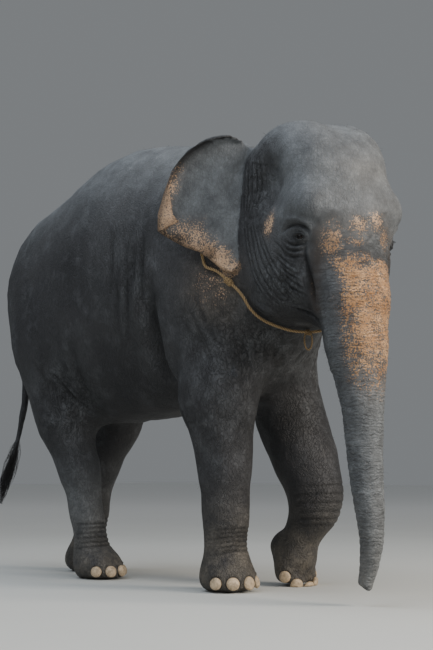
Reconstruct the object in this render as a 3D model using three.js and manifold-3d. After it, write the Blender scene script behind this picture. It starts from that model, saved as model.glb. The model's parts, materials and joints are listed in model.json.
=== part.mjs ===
// A full-size Asian elephant cow, walking, with a plain rope round her neck.
// Units are millimetres. +Z is up, she faces -Y, her right side is -X.
// The body is one smooth field of bones and muscles. It is meshed area by area
// and parted by flat cuts, so the pieces meet without touching.
import * as THREE from 'three';
import Module from 'manifold-3d';

const wasm = await Module();
wasm.setup();
const { Manifold, Mesh } = wasm;

// ---------------------------------------------------------------- main sizes
const GAP = 0.3; // air between neighbouring pieces
const SOCKET = 3; // a socket's air round an ear or the tail
const BODY_CELL = 178; // facet size on the barrel of the body
const NECK_CELL = 136;
const THIGH_CELL = 112;
const SHIN_CELL = 88;
const FOOT_CELL = 94;
const HEAD_CELL = 79;
const TRUNK_CELL = 72;

const BARREL = { y: 700, z: 1660, halfWidth: 555, halfLength: 860, halfHeight: 780 };
const BELLY = { y: 960, z: 1390, halfWidth: 460, halfLength: 560, halfHeight: 508 };
const HIPS = { y: 1390, z: 1630, halfWidth: 402, halfLength: 520, halfHeight: 568 };
const SHOULDERS = { y: 130, z: 1690, halfWidth: 380, halfLength: 480, halfHeight: 676 };
const CHEST = { y: 20, z: 1420, halfWidth: 345, halfLength: 340, halfHeight: 385 };

const FORE_HALF_TRACK = 238; // centre of a forefoot from the middle plane
const HIND_HALF_TRACK = 155;
const FORE_FOOT_RADIUS = 148;
const HIND_FOOT_RADIUS = 136;

const HEAD_YAW = 22; // degrees, towards her right
const HEAD_PIVOT = [0, -100]; // where the head's middle plane meets the body's
const EYE = { side: 215, ahead: 772, up: 1692, radius: 24, depth: 13 };
const EAR = {
  side: 300, // where the ear springs from the head
  ahead: 315,
  rootTop: 2215,
  rootFoot: 1660,
  flareNear: [78, 46], // degrees off straight back: at the root, and farther out
  flareFar: [78, 30],
  thick: [26, 15], // at the root and at the rim
  curl: 34, // how far the upper and rear rim rolls outwards
};
// the edge of the ear: how far behind the root, and how high, from the top
// of the root round the back corner and the lobe to the foot of the root
const EAR_EDGE = [
  [14, 2242], [95, 2250], [195, 2225], [298, 2160], [360, 2065], [405, 1955],
  [430, 1848], [408, 1785], [318, 1738], [215, 1690], [135, 1625], [85, 1588],
  [45, 1605], [0, 1655],
];
const ROPE_PLANE = { ahead: 262, up: 1640, slope: 0.32 }; // of the ring round the neck
const ROPE_BEHIND_EARS = { push: 105, foot: 1565, rise: 50, fall: 160 }; // it slips back there
const ROPE_RADIUS = 8;
const ROPE_LIFT = 15; // how far it hangs off the hide

const mix = (a, b, t) => a + (b - a) * t;
const curveOf = (points, closed = false) =>
  new THREE.CatmullRomCurve3(points.map((p) => new THREE.Vector3(...p)), closed);

// ------------------------------------------------------------ field of forms
const len3 = (x, y, z) => Math.sqrt(x * x + y * y + z * z);
const blend = (a, b, k) => {
  const h = Math.max(k - Math.abs(a - b), 0) / k;
  return Math.min(a, b) - h * h * k * 0.25;
};
const carve = (a, b, k) => -blend(-a, b, k); // a without b

// an egg-shaped muscle, given by its centre and three half sizes
function egg(c, r) {
  return (x, y, z) => {
    const px = (x - c[0]) / r[0];
    const py = (y - c[1]) / r[1];
    const pz = (z - c[2]) / r[2];
    const k0 = len3(px, py, pz);
    const k1 = len3(px / r[0], py / r[1], pz / r[2]);
    return k1 < 1e-9 ? -Math.min(...r) : (k0 * (k0 - 1)) / k1;
  };
}

// a length of limb that tapers from radius ra at a to radius rb at b
function limb(a, ra, b, rb) {
  const ax = b[0] - a[0];
  const ay = b[1] - a[1];
  const az = b[2] - a[2];
  const l2 = ax * ax + ay * ay + az * az;
  const rr = ra - rb;
  const a2 = l2 - rr * rr;
  const il2 = 1 / l2;
  return (x, y, z) => {
    const px = x - a[0];
    const py = y - a[1];
    const pz = z - a[2];
    const t = px * ax + py * ay + pz * az;
    const qx = px * l2 - ax * t;
    const qy = py * l2 - ay * t;
    const qz = pz * l2 - az * t;
    const x2 = qx * qx + qy * qy + qz * qz;
    const w = t - l2;
    const y2 = t * t * l2;
    const z2 = w * w * l2;
    const k = Math.sign(rr) * rr * rr * x2;
    if (Math.sign(w) * a2 * z2 > k) return Math.sqrt(x2 + z2) * il2 - rb;
    if (Math.sign(t) * a2 * y2 < k) return Math.sqrt(x2 + y2) * il2 - ra;
    return (Math.sqrt(x2 * a2 * il2) + t * rr) * il2 - ra;
  };
}

// a foot: a short rounded drum; tilt lifts the heel, long stretches it forwards
function drum(c, radius, half, round, tilt = 0, long = 1) {
  const ca = Math.cos(tilt);
  const sa = Math.sin(tilt);
  return (x, y, z) => {
    const px = x - c[0];
    const py = y - c[1];
    const pz = z - c[2];
    const qy = (py * ca - pz * sa) / long;
    const qz = py * sa + pz * ca;
    const dr = Math.hypot(px, qy) - radius + round;
    const dz = Math.abs(qz) - half + round;
    return Math.min(Math.max(dr, dz), 0) + Math.hypot(Math.max(dr, 0), Math.max(dz, 0)) - round;
  };
}

// joins a list of [form, softness] into one form
function grow(list) {
  return (x, y, z) => {
    let d = list[0][0](x, y, z);
    for (let i = 1; i < list.length; i++) {
      const e = list[i][0](x, y, z);
      if (e - d < list[i][1]) d = blend(d, e, list[i][1]);
    }
    return d;
  };
}

// ----------------------------------------------------------------- the torso
const mass = (m) => egg([0, m.y, m.z], [m.halfWidth, m.halfLength, m.halfHeight]);
const torso = grow([
  [mass(BARREL), 1],
  [mass(BELLY), 120],
  [mass(HIPS), 200],
  [mass(SHOULDERS), 200],
  [mass(CHEST), 120],
]);

// ------------------------------------------------------------------ the legs
// each leg is a chain of joints: [side, back, up, radius]
function chain(joints, soft) {
  const list = [];
  for (let i = 0; i + 1 < joints.length; i++) {
    const a = joints[i];
    const b = joints[i + 1];
    list.push([limb(a.slice(0, 3), a[3], b.slice(0, 3), b[3]), soft]);
  }
  return list;
}
const rightFore = grow([
  ...chain([
    [-255, 60, 1480, 225],
    [-288, 0, 980, 196],
    [-262, -14, 640, 138],
    [-243, -8, 400, 113],
    [-238, 0, 215, 109],
  ], 60),
  [drum([-FORE_HALF_TRACK, -14, 70], FORE_FOOT_RADIUS, 88, 56), 70],
  [egg([-285, 150, 1640], [150, 300, 480]), 130],
]);
const leftFore = grow([
  ...chain([
    [255, 80, 1480, 215],
    [270, 35, 1080, 180],
    [280, -12, 860, 184],
    [272, -104, 680, 171],
    [266, -184, 500, 140],
    [260, -190, 400, 121],
    [252, -98, 250, 104],
  ], 50),
  [drum([250, -60, 88], 126, 74, 50, 0.72), 60],
  [limb([250, -20, 165], 98, [250, 25, 200], 92), 40],
  [egg([285, 150, 1640], [150, 300, 480]), 130],
]);
const rightHind = grow([
  ...chain([
    [-226, 1370, 1330, 246],
    [-236, 1255, 900, 163],
    [-178, 1182, 590, 112],
    [-160, 1148, 380, 89],
    [-157, 1112, 220, 102],
  ], 60),
  [drum([-HIND_HALF_TRACK, 1045, 66], HIND_FOOT_RADIUS, 84, 52, 0, 1.16), 80],
]);
const leftHind = grow([
  ...chain([
    [226, 1370, 1330, 246],
    [232, 1325, 900, 158],
    [176, 1420, 600, 108],
    [160, 1450, 380, 93],
    [157, 1475, 220, 104],
  ], 60),
  [drum([HIND_HALF_TRACK, 1480, 66], HIND_FOOT_RADIUS, 84, 52, 0, 1.16), 80],
]);

// ------------------------------------------------------------------ the head
// head measures are (side, ahead, up): side to her left, ahead of HEAD_PIVOT
const yaw = (HEAD_YAW * Math.PI) / 180;
const fx = -Math.sin(yaw);
const fy = -Math.cos(yaw);
const headPoint = (s, t, z) => [HEAD_PIVOT[0] - fy * s + fx * t, HEAD_PIVOT[1] + fx * s + fy * t, z];
const toHead = (x, y) => {
  const dx = x - HEAD_PIVOT[0];
  const dy = y - HEAD_PIVOT[1];
  return [-fy * dx + fx * dy, fx * dx + fy * dy];
};
const both = (f) => (s, t, z) => f(Math.abs(s), t, z);

const skull = grow([
  [egg([0, 540, 1840], [285, 350, 410]), 1],
  [both(egg([120, 490, 2075], [194, 328, 248])), 110],
  [egg([0, 700, 1860], [225, 215, 330]), 90],
  [both(egg([190, 790, 1838], [104, 118, 96])), 100],
  [both(egg([165, 765, 1690], [66, 92, 86])), 60],
  [both(egg([200, 480, 1610], [135, 245, 270])), 110],
  [both(egg([150, 690, 1540], [100, 150, 170])), 90],
  [both(egg([246, 330, 1900], [74, 120, 270])), 90],
  [limb([0, 770, 1740], 176, [0, 838, 1400], 160), 80],
  [both(egg([78, 832, 1440], [80, 86, 130])), 60],
]);
const jaw = grow([
  [both(limb([105, 430, 1500], 150, [40, 700, 1370], 98)), 1],
  [limb([0, 700, 1370], 92, [0, 790, 1310], 52), 50],
]);
const TRUNK_LINE = [
  [0, 838, 1400, 163],
  [0, 866, 1200, 147],
  [0, 893, 1040, 122],
  [0, 912, 900, 100],
  [0, 928, 700, 84],
  [0, 946, 560, 77],
  [0, 968, 410, 67],
  [0, 974, 300, 57],
  [0, 956, 190, 46],
  [0, 926, 118, 36],
];
const nose = grow(chain(TRUNK_LINE, 40));

const temple = both(egg([335, 560, 1985], [92, 130, 130]));
const headForm = (x, y, z) => {
  const [s, t] = toHead(x, y);
  let d = carve(skull(s, t, z), temple(s, t, z), 70);
  d = blend(d, jaw(s, t, z), 45);
  d = blend(d, nose(s, t, z), 60);
  return d;
};

const neck = grow([
  [limb([20, 120, 1735], 372, headPoint(0, 330, 1815), 290), 1],
  [limb([0, 60, 1690], 360, headPoint(20, 350, 1640), 262), 120],
  [limb([0, 40, 1500], 290, headPoint(0, 380, 1540), 205), 150],
]);

// ------------------------------------------------------------ the whole body
function body(x, y, z) {
  let d = torso(x, y, z);
  d = blend(d, neck(x, y, z), 160);
  d = blend(d, headForm(x, y, z), 90);
  const legs = [rightFore(x, y, z), leftFore(x, y, z), rightHind(x, y, z), leftHind(x, y, z)];
  for (const e of legs) d = blend(d, e, 130);
  return d;
}

// --------------------------------------------------------------- the mesher
// Surface nets: one vertex in each grid box that the surface passes through,
// moved on to the surface, and one square across each grid edge that it cuts.
function skinOf(field, lo, hi, cell, offset = 0) {
  const n = lo.map((v, i) => Math.max(3, Math.ceil((hi[i] - v) / cell) + 1));
  const [nx, ny, nz] = n;
  const val = new Float64Array(nx * ny * nz);
  const at = (i, j, k) => (k * ny + j) * nx + i;
  for (let k = 0; k < nz; k++) {
    for (let j = 0; j < ny; j++) {
      for (let i = 0; i < nx; i++) {
        const edge = i === 0 || j === 0 || k === 0 || i === nx - 1 || j === ny - 1 || k === nz - 1;
        const f = field(lo[0] + i * cell, lo[1] + j * cell, lo[2] + k * cell) - offset;
        val[at(i, j, k)] = edge ? Math.max(f, 1) : f || 1e-6;
      }
    }
  }
  const verts = [];
  const index = new Map();
  const clamp = (v, a, b) => Math.min(Math.max(v, a), b);
  function vertex(i, j, k) {
    const key = at(i, j, k);
    if (index.has(key)) return index.get(key);
    let x = 0;
    let y = 0;
    let z = 0;
    let count = 0;
    const corner = (c) => val[at(i + (c & 1), j + ((c >> 1) & 1), k + ((c >> 2) & 1))];
    for (let c = 0; c < 8; c++) {
      for (const bit of [1, 2, 4]) {
        if (c & bit) continue;
        const a = corner(c);
        const b = corner(c | bit);
        if (a < 0 === b < 0) continue;
        const t = a / (a - b);
        x += (c & 1) + (bit === 1 ? t : 0);
        y += ((c >> 1) & 1) + (bit === 2 ? t : 0);
        z += ((c >> 2) & 1) + (bit === 4 ? t : 0);
        count++;
      }
    }
    const base = [lo[0] + i * cell, lo[1] + j * cell, lo[2] + k * cell];
    const p = [base[0] + (x / count) * cell, base[1] + (y / count) * cell, base[2] + (z / count) * cell];
    const inner = i > 0 && j > 0 && k > 0 && i < nx - 2 && j < ny - 2 && k < nz - 2;
    for (let step = 0; inner && step < 4; step++) {
      const f = field(...p) - offset;
      const e = 2;
      const gx = (field(p[0] + e, p[1], p[2]) - field(p[0] - e, p[1], p[2])) / (2 * e);
      const gy = (field(p[0], p[1] + e, p[2]) - field(p[0], p[1] - e, p[2])) / (2 * e);
      const gz = (field(p[0], p[1], p[2] + e) - field(p[0], p[1], p[2] - e)) / (2 * e);
      const g2 = Math.max(gx * gx + gy * gy + gz * gz, 0.05);
      p[0] = clamp(p[0] - (f * gx) / g2, base[0] + 0.02 * cell, base[0] + 0.98 * cell);
      p[1] = clamp(p[1] - (f * gy) / g2, base[1] + 0.02 * cell, base[1] + 0.98 * cell);
      p[2] = clamp(p[2] - (f * gz) / g2, base[2] + 0.02 * cell, base[2] + 0.98 * cell);
    }
    index.set(key, verts.length / 3);
    verts.push(...p);
    return index.get(key);
  }
  const tris = [];
  const dist = (a, b) => len3(...[0, 1, 2].map((k) => verts[a * 3 + k] - verts[b * 3 + k]));
  function square(a, b, c, d, flip) {
    const q = flip ? [d, c, b, a] : [a, b, c, d];
    if (dist(q[0], q[2]) <= dist(q[1], q[3])) tris.push(q[0], q[1], q[2], q[0], q[2], q[3]);
    else tris.push(q[0], q[1], q[3], q[1], q[2], q[3]);
  }
  for (let k = 0; k < nz; k++) {
    for (let j = 0; j < ny; j++) {
      for (let i = 0; i < nx; i++) {
        const inside = val[at(i, j, k)] < 0;
        if (i + 1 < nx && j > 0 && k > 0 && inside !== val[at(i + 1, j, k)] < 0) {
          square(vertex(i, j - 1, k - 1), vertex(i, j, k - 1), vertex(i, j, k), vertex(i, j - 1, k), !inside);
        }
        if (j + 1 < ny && i > 0 && k > 0 && inside !== val[at(i, j + 1, k)] < 0) {
          square(vertex(i - 1, j, k - 1), vertex(i - 1, j, k), vertex(i, j, k), vertex(i, j, k - 1), !inside);
        }
        if (k + 1 < nz && i > 0 && j > 0 && inside !== val[at(i, j, k + 1)] < 0) {
          square(vertex(i - 1, j - 1, k), vertex(i, j - 1, k), vertex(i, j, k), vertex(i - 1, j, k), !inside);
        }
      }
    }
  }
  return manifoldOf(verts, tris);
}

// -------------------------------------------------------- solids and cutting
function manifoldOf(verts, tris) {
  const mesh = { numProp: 3, vertProperties: new Float32Array(verts), triVerts: new Uint32Array(tris) };
  return new Manifold(new Mesh(mesh));
}

function solid(geometry) {
  const pos = geometry.getAttribute('position');
  const weld = new Map();
  const verts = [];
  const ids = [];
  for (let i = 0; i < pos.count; i++) {
    const key = [pos.getX(i), pos.getY(i), pos.getZ(i)].map((v) => Math.round(v * 1000)).join();
    if (!weld.has(key)) {
      weld.set(key, verts.length / 3);
      verts.push(pos.getX(i), pos.getY(i), pos.getZ(i));
    }
    ids.push(weld.get(key));
  }
  const order = geometry.index ? Array.from(geometry.index.array) : ids.map((_, i) => i);
  const tris = [];
  for (let i = 0; i < order.length; i += 3) {
    const t = [ids[order[i]], ids[order[i + 1]], ids[order[i + 2]]];
    if (t[0] !== t[1] && t[1] !== t[2] && t[0] !== t[2]) tris.push(...t);
  }
  return manifoldOf(verts, tris);
}

const FAR = 6000;
// everything on the far side of a plane through p, away from normal n, is kept
function halfSpace(p, n, back = GAP / 2) {
  const u = new THREE.Vector3(...n).normalize();
  const g = new THREE.BoxGeometry(FAR, FAR, FAR);
  g.translate(0, 0, -FAR / 2 - back);
  g.applyQuaternion(new THREE.Quaternion().setFromUnitVectors(new THREE.Vector3(0, 0, 1), u));
  g.translate(...p);
  return solid(g);
}
function block(lo, hi, grown = 0) {
  const g = new THREE.BoxGeometry(...[0, 1, 2].map((k) => hi[k] - lo[k] + 2 * grown));
  g.translate((lo[0] + hi[0]) / 2, (lo[1] + hi[1]) / 2, (lo[2] + hi[2]) / 2);
  return solid(g);
}
const keep = (m, ...planes) => planes.reduce((a, [p, n, back]) => a.intersect(halfSpace(p, n, back)), m);
const room = (m, ...planes) => planes.reduce((a, [p, n]) => a.intersect(halfSpace(p, n, -GAP / 2)), m);
const flip = ([p, n]) => [p, n.map((v) => -v)];

// the flat cuts between the pieces: a point on the cut and the way it faces
const headDir = (t, z) => [fx * t, fy * t, z];
const CUT = {
  floor: [[0, 0, 0], [0, 0, -1], 0],
  middle: [[0, 0, 0], [1, 0, 0]],
  waist: [[0, 480, 1600], [0, -1, 0]], // faces forwards
  loin: [[0, 1080, 1600], [0, -1, 0]],
  shoulder: [[0, -70, 1700], [0, -1, 0.24]],
  nape: [headPoint(0, 265, 1760), headDir(1, 0.1)],
  trunkRoot: [headPoint(0, 800, 1400), [0, 0, -1]],
  trunkBack: [headPoint(0, 690, 1300), headDir(1, 0)],
  lipFront: [headPoint(0, 738, 1300), headDir(1, 0.35)],
  lipUnder: [headPoint(0, 738, 1245), [0, 0, -1]],
  jawTop: [headPoint(0, 600, 1395), headDir(0.12, -1)],
  jawBack: [headPoint(0, 420, 1400), headDir(1, 0.2)],
  trunkMid: [headPoint(0, 890, 1060), headDir(0.15, -1)],
  trunkLow: [headPoint(0, 930, 720), headDir(0.12, -1)],
  trunkTip: [headPoint(0, 975, 400), headDir(0.08, -1)],
};
const FORE_TOP = 1080;
const HIND_TOP = 1010;
const FORE_BOX = { lo: [-900, -700, -100], hi: [900, 340, FORE_TOP] };
const HIND_BOX = { lo: [-900, 930, -100], hi: [900, 2300, HIND_TOP] };

const group = new THREE.Group();
const SKIN = { color: 0x4a4b4f, roughness: 0.85, metalness: 0 };
const NAIL = { color: 0xb9a58c, roughness: 0.55, metalness: 0 };
const EYE_WET = { color: 0x1c120c, roughness: 0.15, metalness: 0 };
const ROPE = { color: 0xb9905a, roughness: 0.9, metalness: 0 };
const HAIR = { color: 0x15161a, roughness: 0.6, metalness: 0 };
const pieces = [];
// a cut can leave slivers beside a piece, so only its largest body is kept
function add(name, m, look) {
  const bodies = m.decompose().sort((a, b) => b.volume() - a.volume());
  pieces.push({ name, m: bodies[0], look });
}

// ------------------------------------------------------------- torso and neck
const torsoWhole = skinOf(body, [-700, -560, 760], [700, 2200, 2560], BODY_CELL);
const legRoom = block(FORE_BOX.lo, FORE_BOX.hi, GAP / 2).add(block(HIND_BOX.lo, HIND_BOX.hi, GAP / 2));
const torsoBody = torsoWhole.subtract(legRoom);
add('torso_front', keep(torsoBody, CUT.shoulder, flip(CUT.waist)), SKIN);
add('torso_middle', keep(torsoBody, CUT.waist, flip(CUT.loin)), SKIN);
const neckWhole = skinOf(body, [-760, -860, 1000], [620, 260, 2500], NECK_CELL);
let neckSolid = keep(neckWhole, flip(CUT.shoulder), CUT.nape);

// ------------------------------------------------------------------- the legs
// a leg is meshed this far to its own side and past the middle plane
const LEG_REACH = 640;
const LEG_OVERLAP = 150;
// a leg is cut at the knee or wrist and at the ankle: [back, up, slope]
function leg(name, foot, side, back, front, top, knee, ankle) {
  const half = side < 0 ? CUT.middle : flip(CUT.middle);
  const x0 = side < 0 ? -LEG_REACH : -LEG_OVERLAP;
  const x1 = side < 0 ? LEG_OVERLAP : LEG_REACH;
  const share = foot.startsWith('fore') ? FORE_BOX : HIND_BOX;
  const box = block(share.lo, share.hi, -GAP / 2);
  const kneeCut = [[0, knee[0], knee[1]], [0, knee[2], -1]];
  const ankleCut = [[0, ankle[0], ankle[1]], [0, ankle[2], -1]];
  const thigh = skinOf(body, [x0, front - 100, knee[1] - 260], [x1, back + 100, top + 200], THIGH_CELL);
  const shin = skinOf(body, [x0, front - 100, ankle[1] - 240], [x1, back + 100, knee[1] + 260], SHIN_CELL);
  const base = skinOf(body, [x0, front - 100, -130], [x1, back + 100, ankle[1] + 260], FOOT_CELL);
  add(`${name}_upper`, keep(thigh.intersect(box), half, kneeCut), SKIN);
  add(`${name}_lower`, keep(shin, half, flip(kneeCut), ankleCut), SKIN);
  return [foot, keep(base, half, flip(ankleCut), CUT.floor)];
}
const feet = [
  leg('foreleg_right', 'forefoot_right', -1, 340, -420, FORE_TOP, [0, 560, 0], [0, 200, 0]),
  leg('foreleg_left', 'forefoot_left', 1, 340, -520, FORE_TOP, [-150, 590, -0.35], [-90, 250, 0.8]),
  leg('hindleg_right', 'hindfoot_right', -1, 1900, 800, HIND_TOP, [1200, 640, 0], [1130, 210, 0]),
  leg('hindleg_left', 'hindfoot_left', 1, 1900, 800, HIND_TOP, [1400, 640, 0], [1470, 210, 0]),
];

// ------------------------------------------------------------------ the nails
// a nail is a flat dome on the front of the foot, sunk into a pocket there
function nailForm(foot, angle, wide, high, grown) {
  const g = new THREE.SphereGeometry(1, 7, 4);
  g.rotateX(Math.PI / 2);
  g.scale(wide / 2 + grown, 20 + grown, high / 2 + grown);
  const a = (angle * Math.PI) / 180;
  g.rotateX(-0.22);
  g.rotateZ(a);
  const reach = foot.radius - 4;
  g.translate(Math.sin(a) * reach, -Math.cos(a) * reach * foot.long, foot.drop);
  g.rotateX(foot.tilt);
  g.translate(...foot.centre);
  return solid(g);
}
const FOOT = {
  forefoot_right: { centre: [-FORE_HALF_TRACK, -14, 70], radius: FORE_FOOT_RADIUS, long: 1,
    drop: -22, tilt: 0 },
  forefoot_left: { centre: [250, -60, 88], radius: 126, long: 1, drop: -14, tilt: 0.72 },
  hindfoot_right: { centre: [-HIND_HALF_TRACK, 1045, 66], radius: HIND_FOOT_RADIUS, long: 1.16,
    drop: -20, tilt: 0 },
  hindfoot_left: { centre: [HIND_HALF_TRACK, 1480, 66], radius: HIND_FOOT_RADIUS, long: 1.16,
    drop: -20, tilt: 0 },
};
for (const [name, whole] of feet) {
  const fore = name.startsWith('fore');
  const angles = fore ? [-72, -37, 0, 37, 72] : [-52, -18, 18, 52];
  let foot = whole;
  angles.forEach((angle, i) => {
    const wide = (fore ? 78 : 74) - Math.abs(angle) * 0.16;
    const high = (fore ? 70 : 66) - Math.abs(angle) * 0.1;
    foot = foot.subtract(nailForm(FOOT[name], angle, wide, high, GAP));
    const nail = keep(nailForm(FOOT[name], angle, wide, high, 0), [[0, 0, 2], [0, 0, -1], 0]);
    add(`nail_${name}_${i + 1}`, nail, NAIL);
  });
  add(name, foot, SKIN);
}

// ------------------------------------------------------------------- the head
const headLo = [-860, -1300, 1150];
const headHi = [420, -120, 2420];
const headWhole = skinOf(body, headLo, headHi, HEAD_CELL);
const everything = block([-2900, -2900, -2900], [2900, 2900, 2900]);
const noseRoom = room(everything, flip(CUT.trunkRoot), flip(CUT.trunkBack));
const jawCuts = [flip(CUT.jawTop), CUT.lipFront, flip(CUT.jawBack), CUT.lipUnder];
const jawRoom = room(everything, ...jawCuts);
const front = keep(headWhole, flip(CUT.nape));
// an eyeball sits in its socket so that only its front shows
function eyeBall(side, grown) {
  const [x, y, z] = headPoint(side * EYE.side, EYE.ahead, EYE.up);
  const out = headPoint(side * (EYE.side + 94), EYE.ahead + 34, EYE.up - 5);
  const dir = [out[0] - x, out[1] - y, out[2] - z].map((v) => v / 100);
  let reach = -150;
  while (body(x + dir[0] * reach, y + dir[1] * reach, z + dir[2] * reach) < -EYE.depth) reach += 1;
  const g = new THREE.IcosahedronGeometry(EYE.radius + grown, 1);
  g.translate(x + dir[0] * reach, y + dir[1] * reach, z + dir[2] * reach);
  return solid(g);
}
let headSolid = front.subtract(noseRoom).subtract(jawRoom);
for (const [side, name] of [[-1, 'eye_right'], [1, 'eye_left']]) {
  headSolid = headSolid.subtract(eyeBall(side, GAP));
  add(name, eyeBall(side, 0), EYE_WET);
}
add('lower_jaw', keep(front, ...jawCuts), SKIN);
const trunkWhole = skinOf(body, [-760, -1330, -60], [120, -560, 1500], TRUNK_CELL);
const trunkOnly = keep(trunkWhole, flip(CUT.trunkRoot), flip(CUT.trunkBack)).subtract(jawRoom);
add('trunk_root', keep(trunkOnly, CUT.trunkMid), SKIN);
add('trunk_middle', keep(trunkOnly, flip(CUT.trunkMid), CUT.trunkLow), SKIN);
add('trunk_lower', keep(trunkOnly, flip(CUT.trunkLow), CUT.trunkTip), SKIN);
add('trunk_tip', keep(trunkOnly, flip(CUT.trunkTip)), SKIN);

// ------------------------------------------------------------------- the ears
const EAR_DEPTH = 40; // the root lies this far inside the head
const EAR_BEND = 170; // its plan turns from root to rim over this length
const EAR_LEAN = 22; // the foot of the ear tucks in by this much
const EAR_RIPPLE = 7;
function ear(side, flare, grown = 0) {
  const edge = new THREE.CatmullRomCurve3(EAR_EDGE.map(([a, z]) => new THREE.Vector3(a, 0, z)));
  const plan = [];
  let s = EAR.side - EAR_DEPTH - 10;
  let t = EAR.ahead;
  const step = 5;
  for (let a = -10; a <= 480; a += step) {
    const bend = Math.min(Math.max(a, 0) / EAR_BEND, 1);
    const turn = ((flare[0] * (1 - bend) + flare[1] * bend) * Math.PI) / 180;
    plan.push([s, t, turn]);
    s += Math.sin(turn) * step;
    t -= Math.cos(turn) * step;
  }
  const place = (a, z, off) => {
    const at = Math.max(0, Math.min(plan.length - 1.001, (a + EAR_DEPTH + 10) / step));
    const before = Math.floor(at);
    const [ps, pt, turn] = plan[before].map((value, i) => mix(value, plan[before + 1][i], at - before));
    const down = (EAR.rootTop - z) / (EAR.rootTop - EAR.rootFoot);
    const lean = -EAR_LEAN * Math.max(down - 0.6, 0) * (a / 100);
    const ss = ps + Math.cos(turn) * (off + lean);
    return headPoint(side * ss, pt + Math.sin(turn) * (off + lean), z);
  };
  const NU = 5;
  const NV = 11;
  const rootMiddle = (EAR.rootTop + EAR.rootFoot) / 2;
  const spreadFrom = (value, middle) => middle + (value - middle) * (1 + grown / 100);
  const verts = [];
  const ids = { f: [], b: [] };
  for (const [face, sign] of [['f', 1], ['b', -1]]) {
    for (let v = 0; v <= NV; v++) {
      const row = [];
      const e = edge.getPoint(v / NV);
      const rootZ = spreadFrom(EAR.rootTop + ((EAR.rootFoot - EAR.rootTop) * v) / NV, rootMiddle);
      for (let u = 0; u <= NU; u++) {
        const rim = u === NU || v === 0 || v === NV;
        if (rim && face === 'b') {
          row.push(ids.f[v][u]);
          continue;
        }
        const w = u / NU;
        const a = mix(-EAR_DEPTH - 3 * grown, spreadFrom(e.x, -EAR_DEPTH), w);
        const z = mix(rootZ, spreadFrom(e.z, rootMiddle), w);
        const upper = Math.max(0, 1 - v / (NV * 0.62));
        const curl = EAR.curl * Math.max(0, (w - 0.72) / 0.28) ** 2 * Math.min(1, upper * 2.2);
        const ripple = EAR_RIPPLE * Math.sin((v / NV) * 9.5) * w * w;
        const half = rim ? 0 : mix(EAR.thick[0], EAR.thick[1], w) / 2 + 2 * grown;
        row.push(verts.length / 3);
        verts.push(...place(a, z, curl + ripple + sign * half));
      }
      ids[face].push(row);
    }
  }
  const tris = [];
  const out = side > 0;
  const quad = (a, b, c, d, turn) => {
    const q = turn ? [a, b, c, d] : [d, c, b, a];
    tris.push([q[0], q[1], q[2]], [q[0], q[2], q[3]]);
  };
  for (let v = 0; v < NV; v++) {
    for (let u = 0; u < NU; u++) {
      quad(ids.f[v][u], ids.f[v][u + 1], ids.f[v + 1][u + 1], ids.f[v + 1][u], !out);
      quad(ids.b[v][u], ids.b[v][u + 1], ids.b[v + 1][u + 1], ids.b[v + 1][u], out);
    }
    quad(ids.f[v][0], ids.f[v + 1][0], ids.b[v + 1][0], ids.b[v][0], !out);
  }
  const good = tris.filter(([a, b, c]) => a !== b && b !== c && a !== c).flat();
  return manifoldOf(verts, good);
}
const EARS = [[-1, 'ear_right', EAR.flareNear], [1, 'ear_left', EAR.flareFar]];
for (const [side, name, flare] of EARS) {
  add(name, ear(side, flare), SKIN);
  headSolid = headSolid.subtract(ear(side, flare, SOCKET));
  neckSolid = neckSolid.subtract(ear(side, flare, SOCKET));
}
add('head', headSolid, SKIN);
add('neck', neckSolid, SKIN);

// ------------------------------------------------------ the tail and the rope
// a closed sleeve along a curve: radius(u) gives its half width and half depth
function sleeve(curve, steps, sides, radius, closed = false) {
  const frames = curve.computeFrenetFrames(steps, closed);
  const verts = [];
  const rings = closed ? steps : steps + 1;
  for (let i = 0; i < rings; i++) {
    const u = i / steps;
    const p = curve.getPointAt(u);
    const [rn, rb] = radius(u);
    for (let k = 0; k < sides; k++) {
      const a = (2 * Math.PI * k) / sides;
      const q = p.clone().addScaledVector(frames.normals[i], Math.cos(a) * rn);
      q.addScaledVector(frames.binormals[i], Math.sin(a) * rb);
      verts.push(q.x, q.y, q.z);
    }
  }
  const tris = [];
  for (let i = 0; i < steps; i++) {
    const a = i * sides;
    const b = ((i + 1) % rings) * sides;
    for (let k = 0; k < sides; k++) {
      const n = (k + 1) % sides;
      tris.push(a + k, a + n, b + n, a + k, b + n, b + k);
    }
  }
  if (!closed) {
    const last = steps * sides;
    for (let k = 1; k + 1 < sides; k++) tris.push(0, k + 1, k, last, last + k, last + k + 1);
  }
  return manifoldOf(verts, tris);
}

const TAIL = { rootRadius: 58, neckRadius: 36, tipRadius: 13 };
const tailCurve = curveOf([
  [0, 1850, 1850], [0, 1908, 1700], [0, 1918, 1440], [0, 1902, 1180],
  [0, 1910, 1040], [0, 1972, 810], [0, 2042, 630],
]);
const tailRadius = (u) => {
  const r = u < 0.2
    ? mix(TAIL.rootRadius, TAIL.neckRadius, u / 0.2)
    : mix(TAIL.neckRadius, TAIL.tipRadius, (u - 0.2) / 0.8);
  return [r, r];
};
const tailSleeve = sleeve(tailCurve, 10, 7, (u) => tailRadius(u).map((r) => r + SOCKET));
const tailGrown = tailSleeve
  .add(tailSleeve.translate([0, -SOCKET, SOCKET]))
  .add(tailSleeve.translate([0, 0, -SOCKET]));
add('tail', sleeve(tailCurve, 10, 7, tailRadius), SKIN);
add('torso_rear', keep(torsoBody, CUT.loin).subtract(tailGrown), SKIN);

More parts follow.
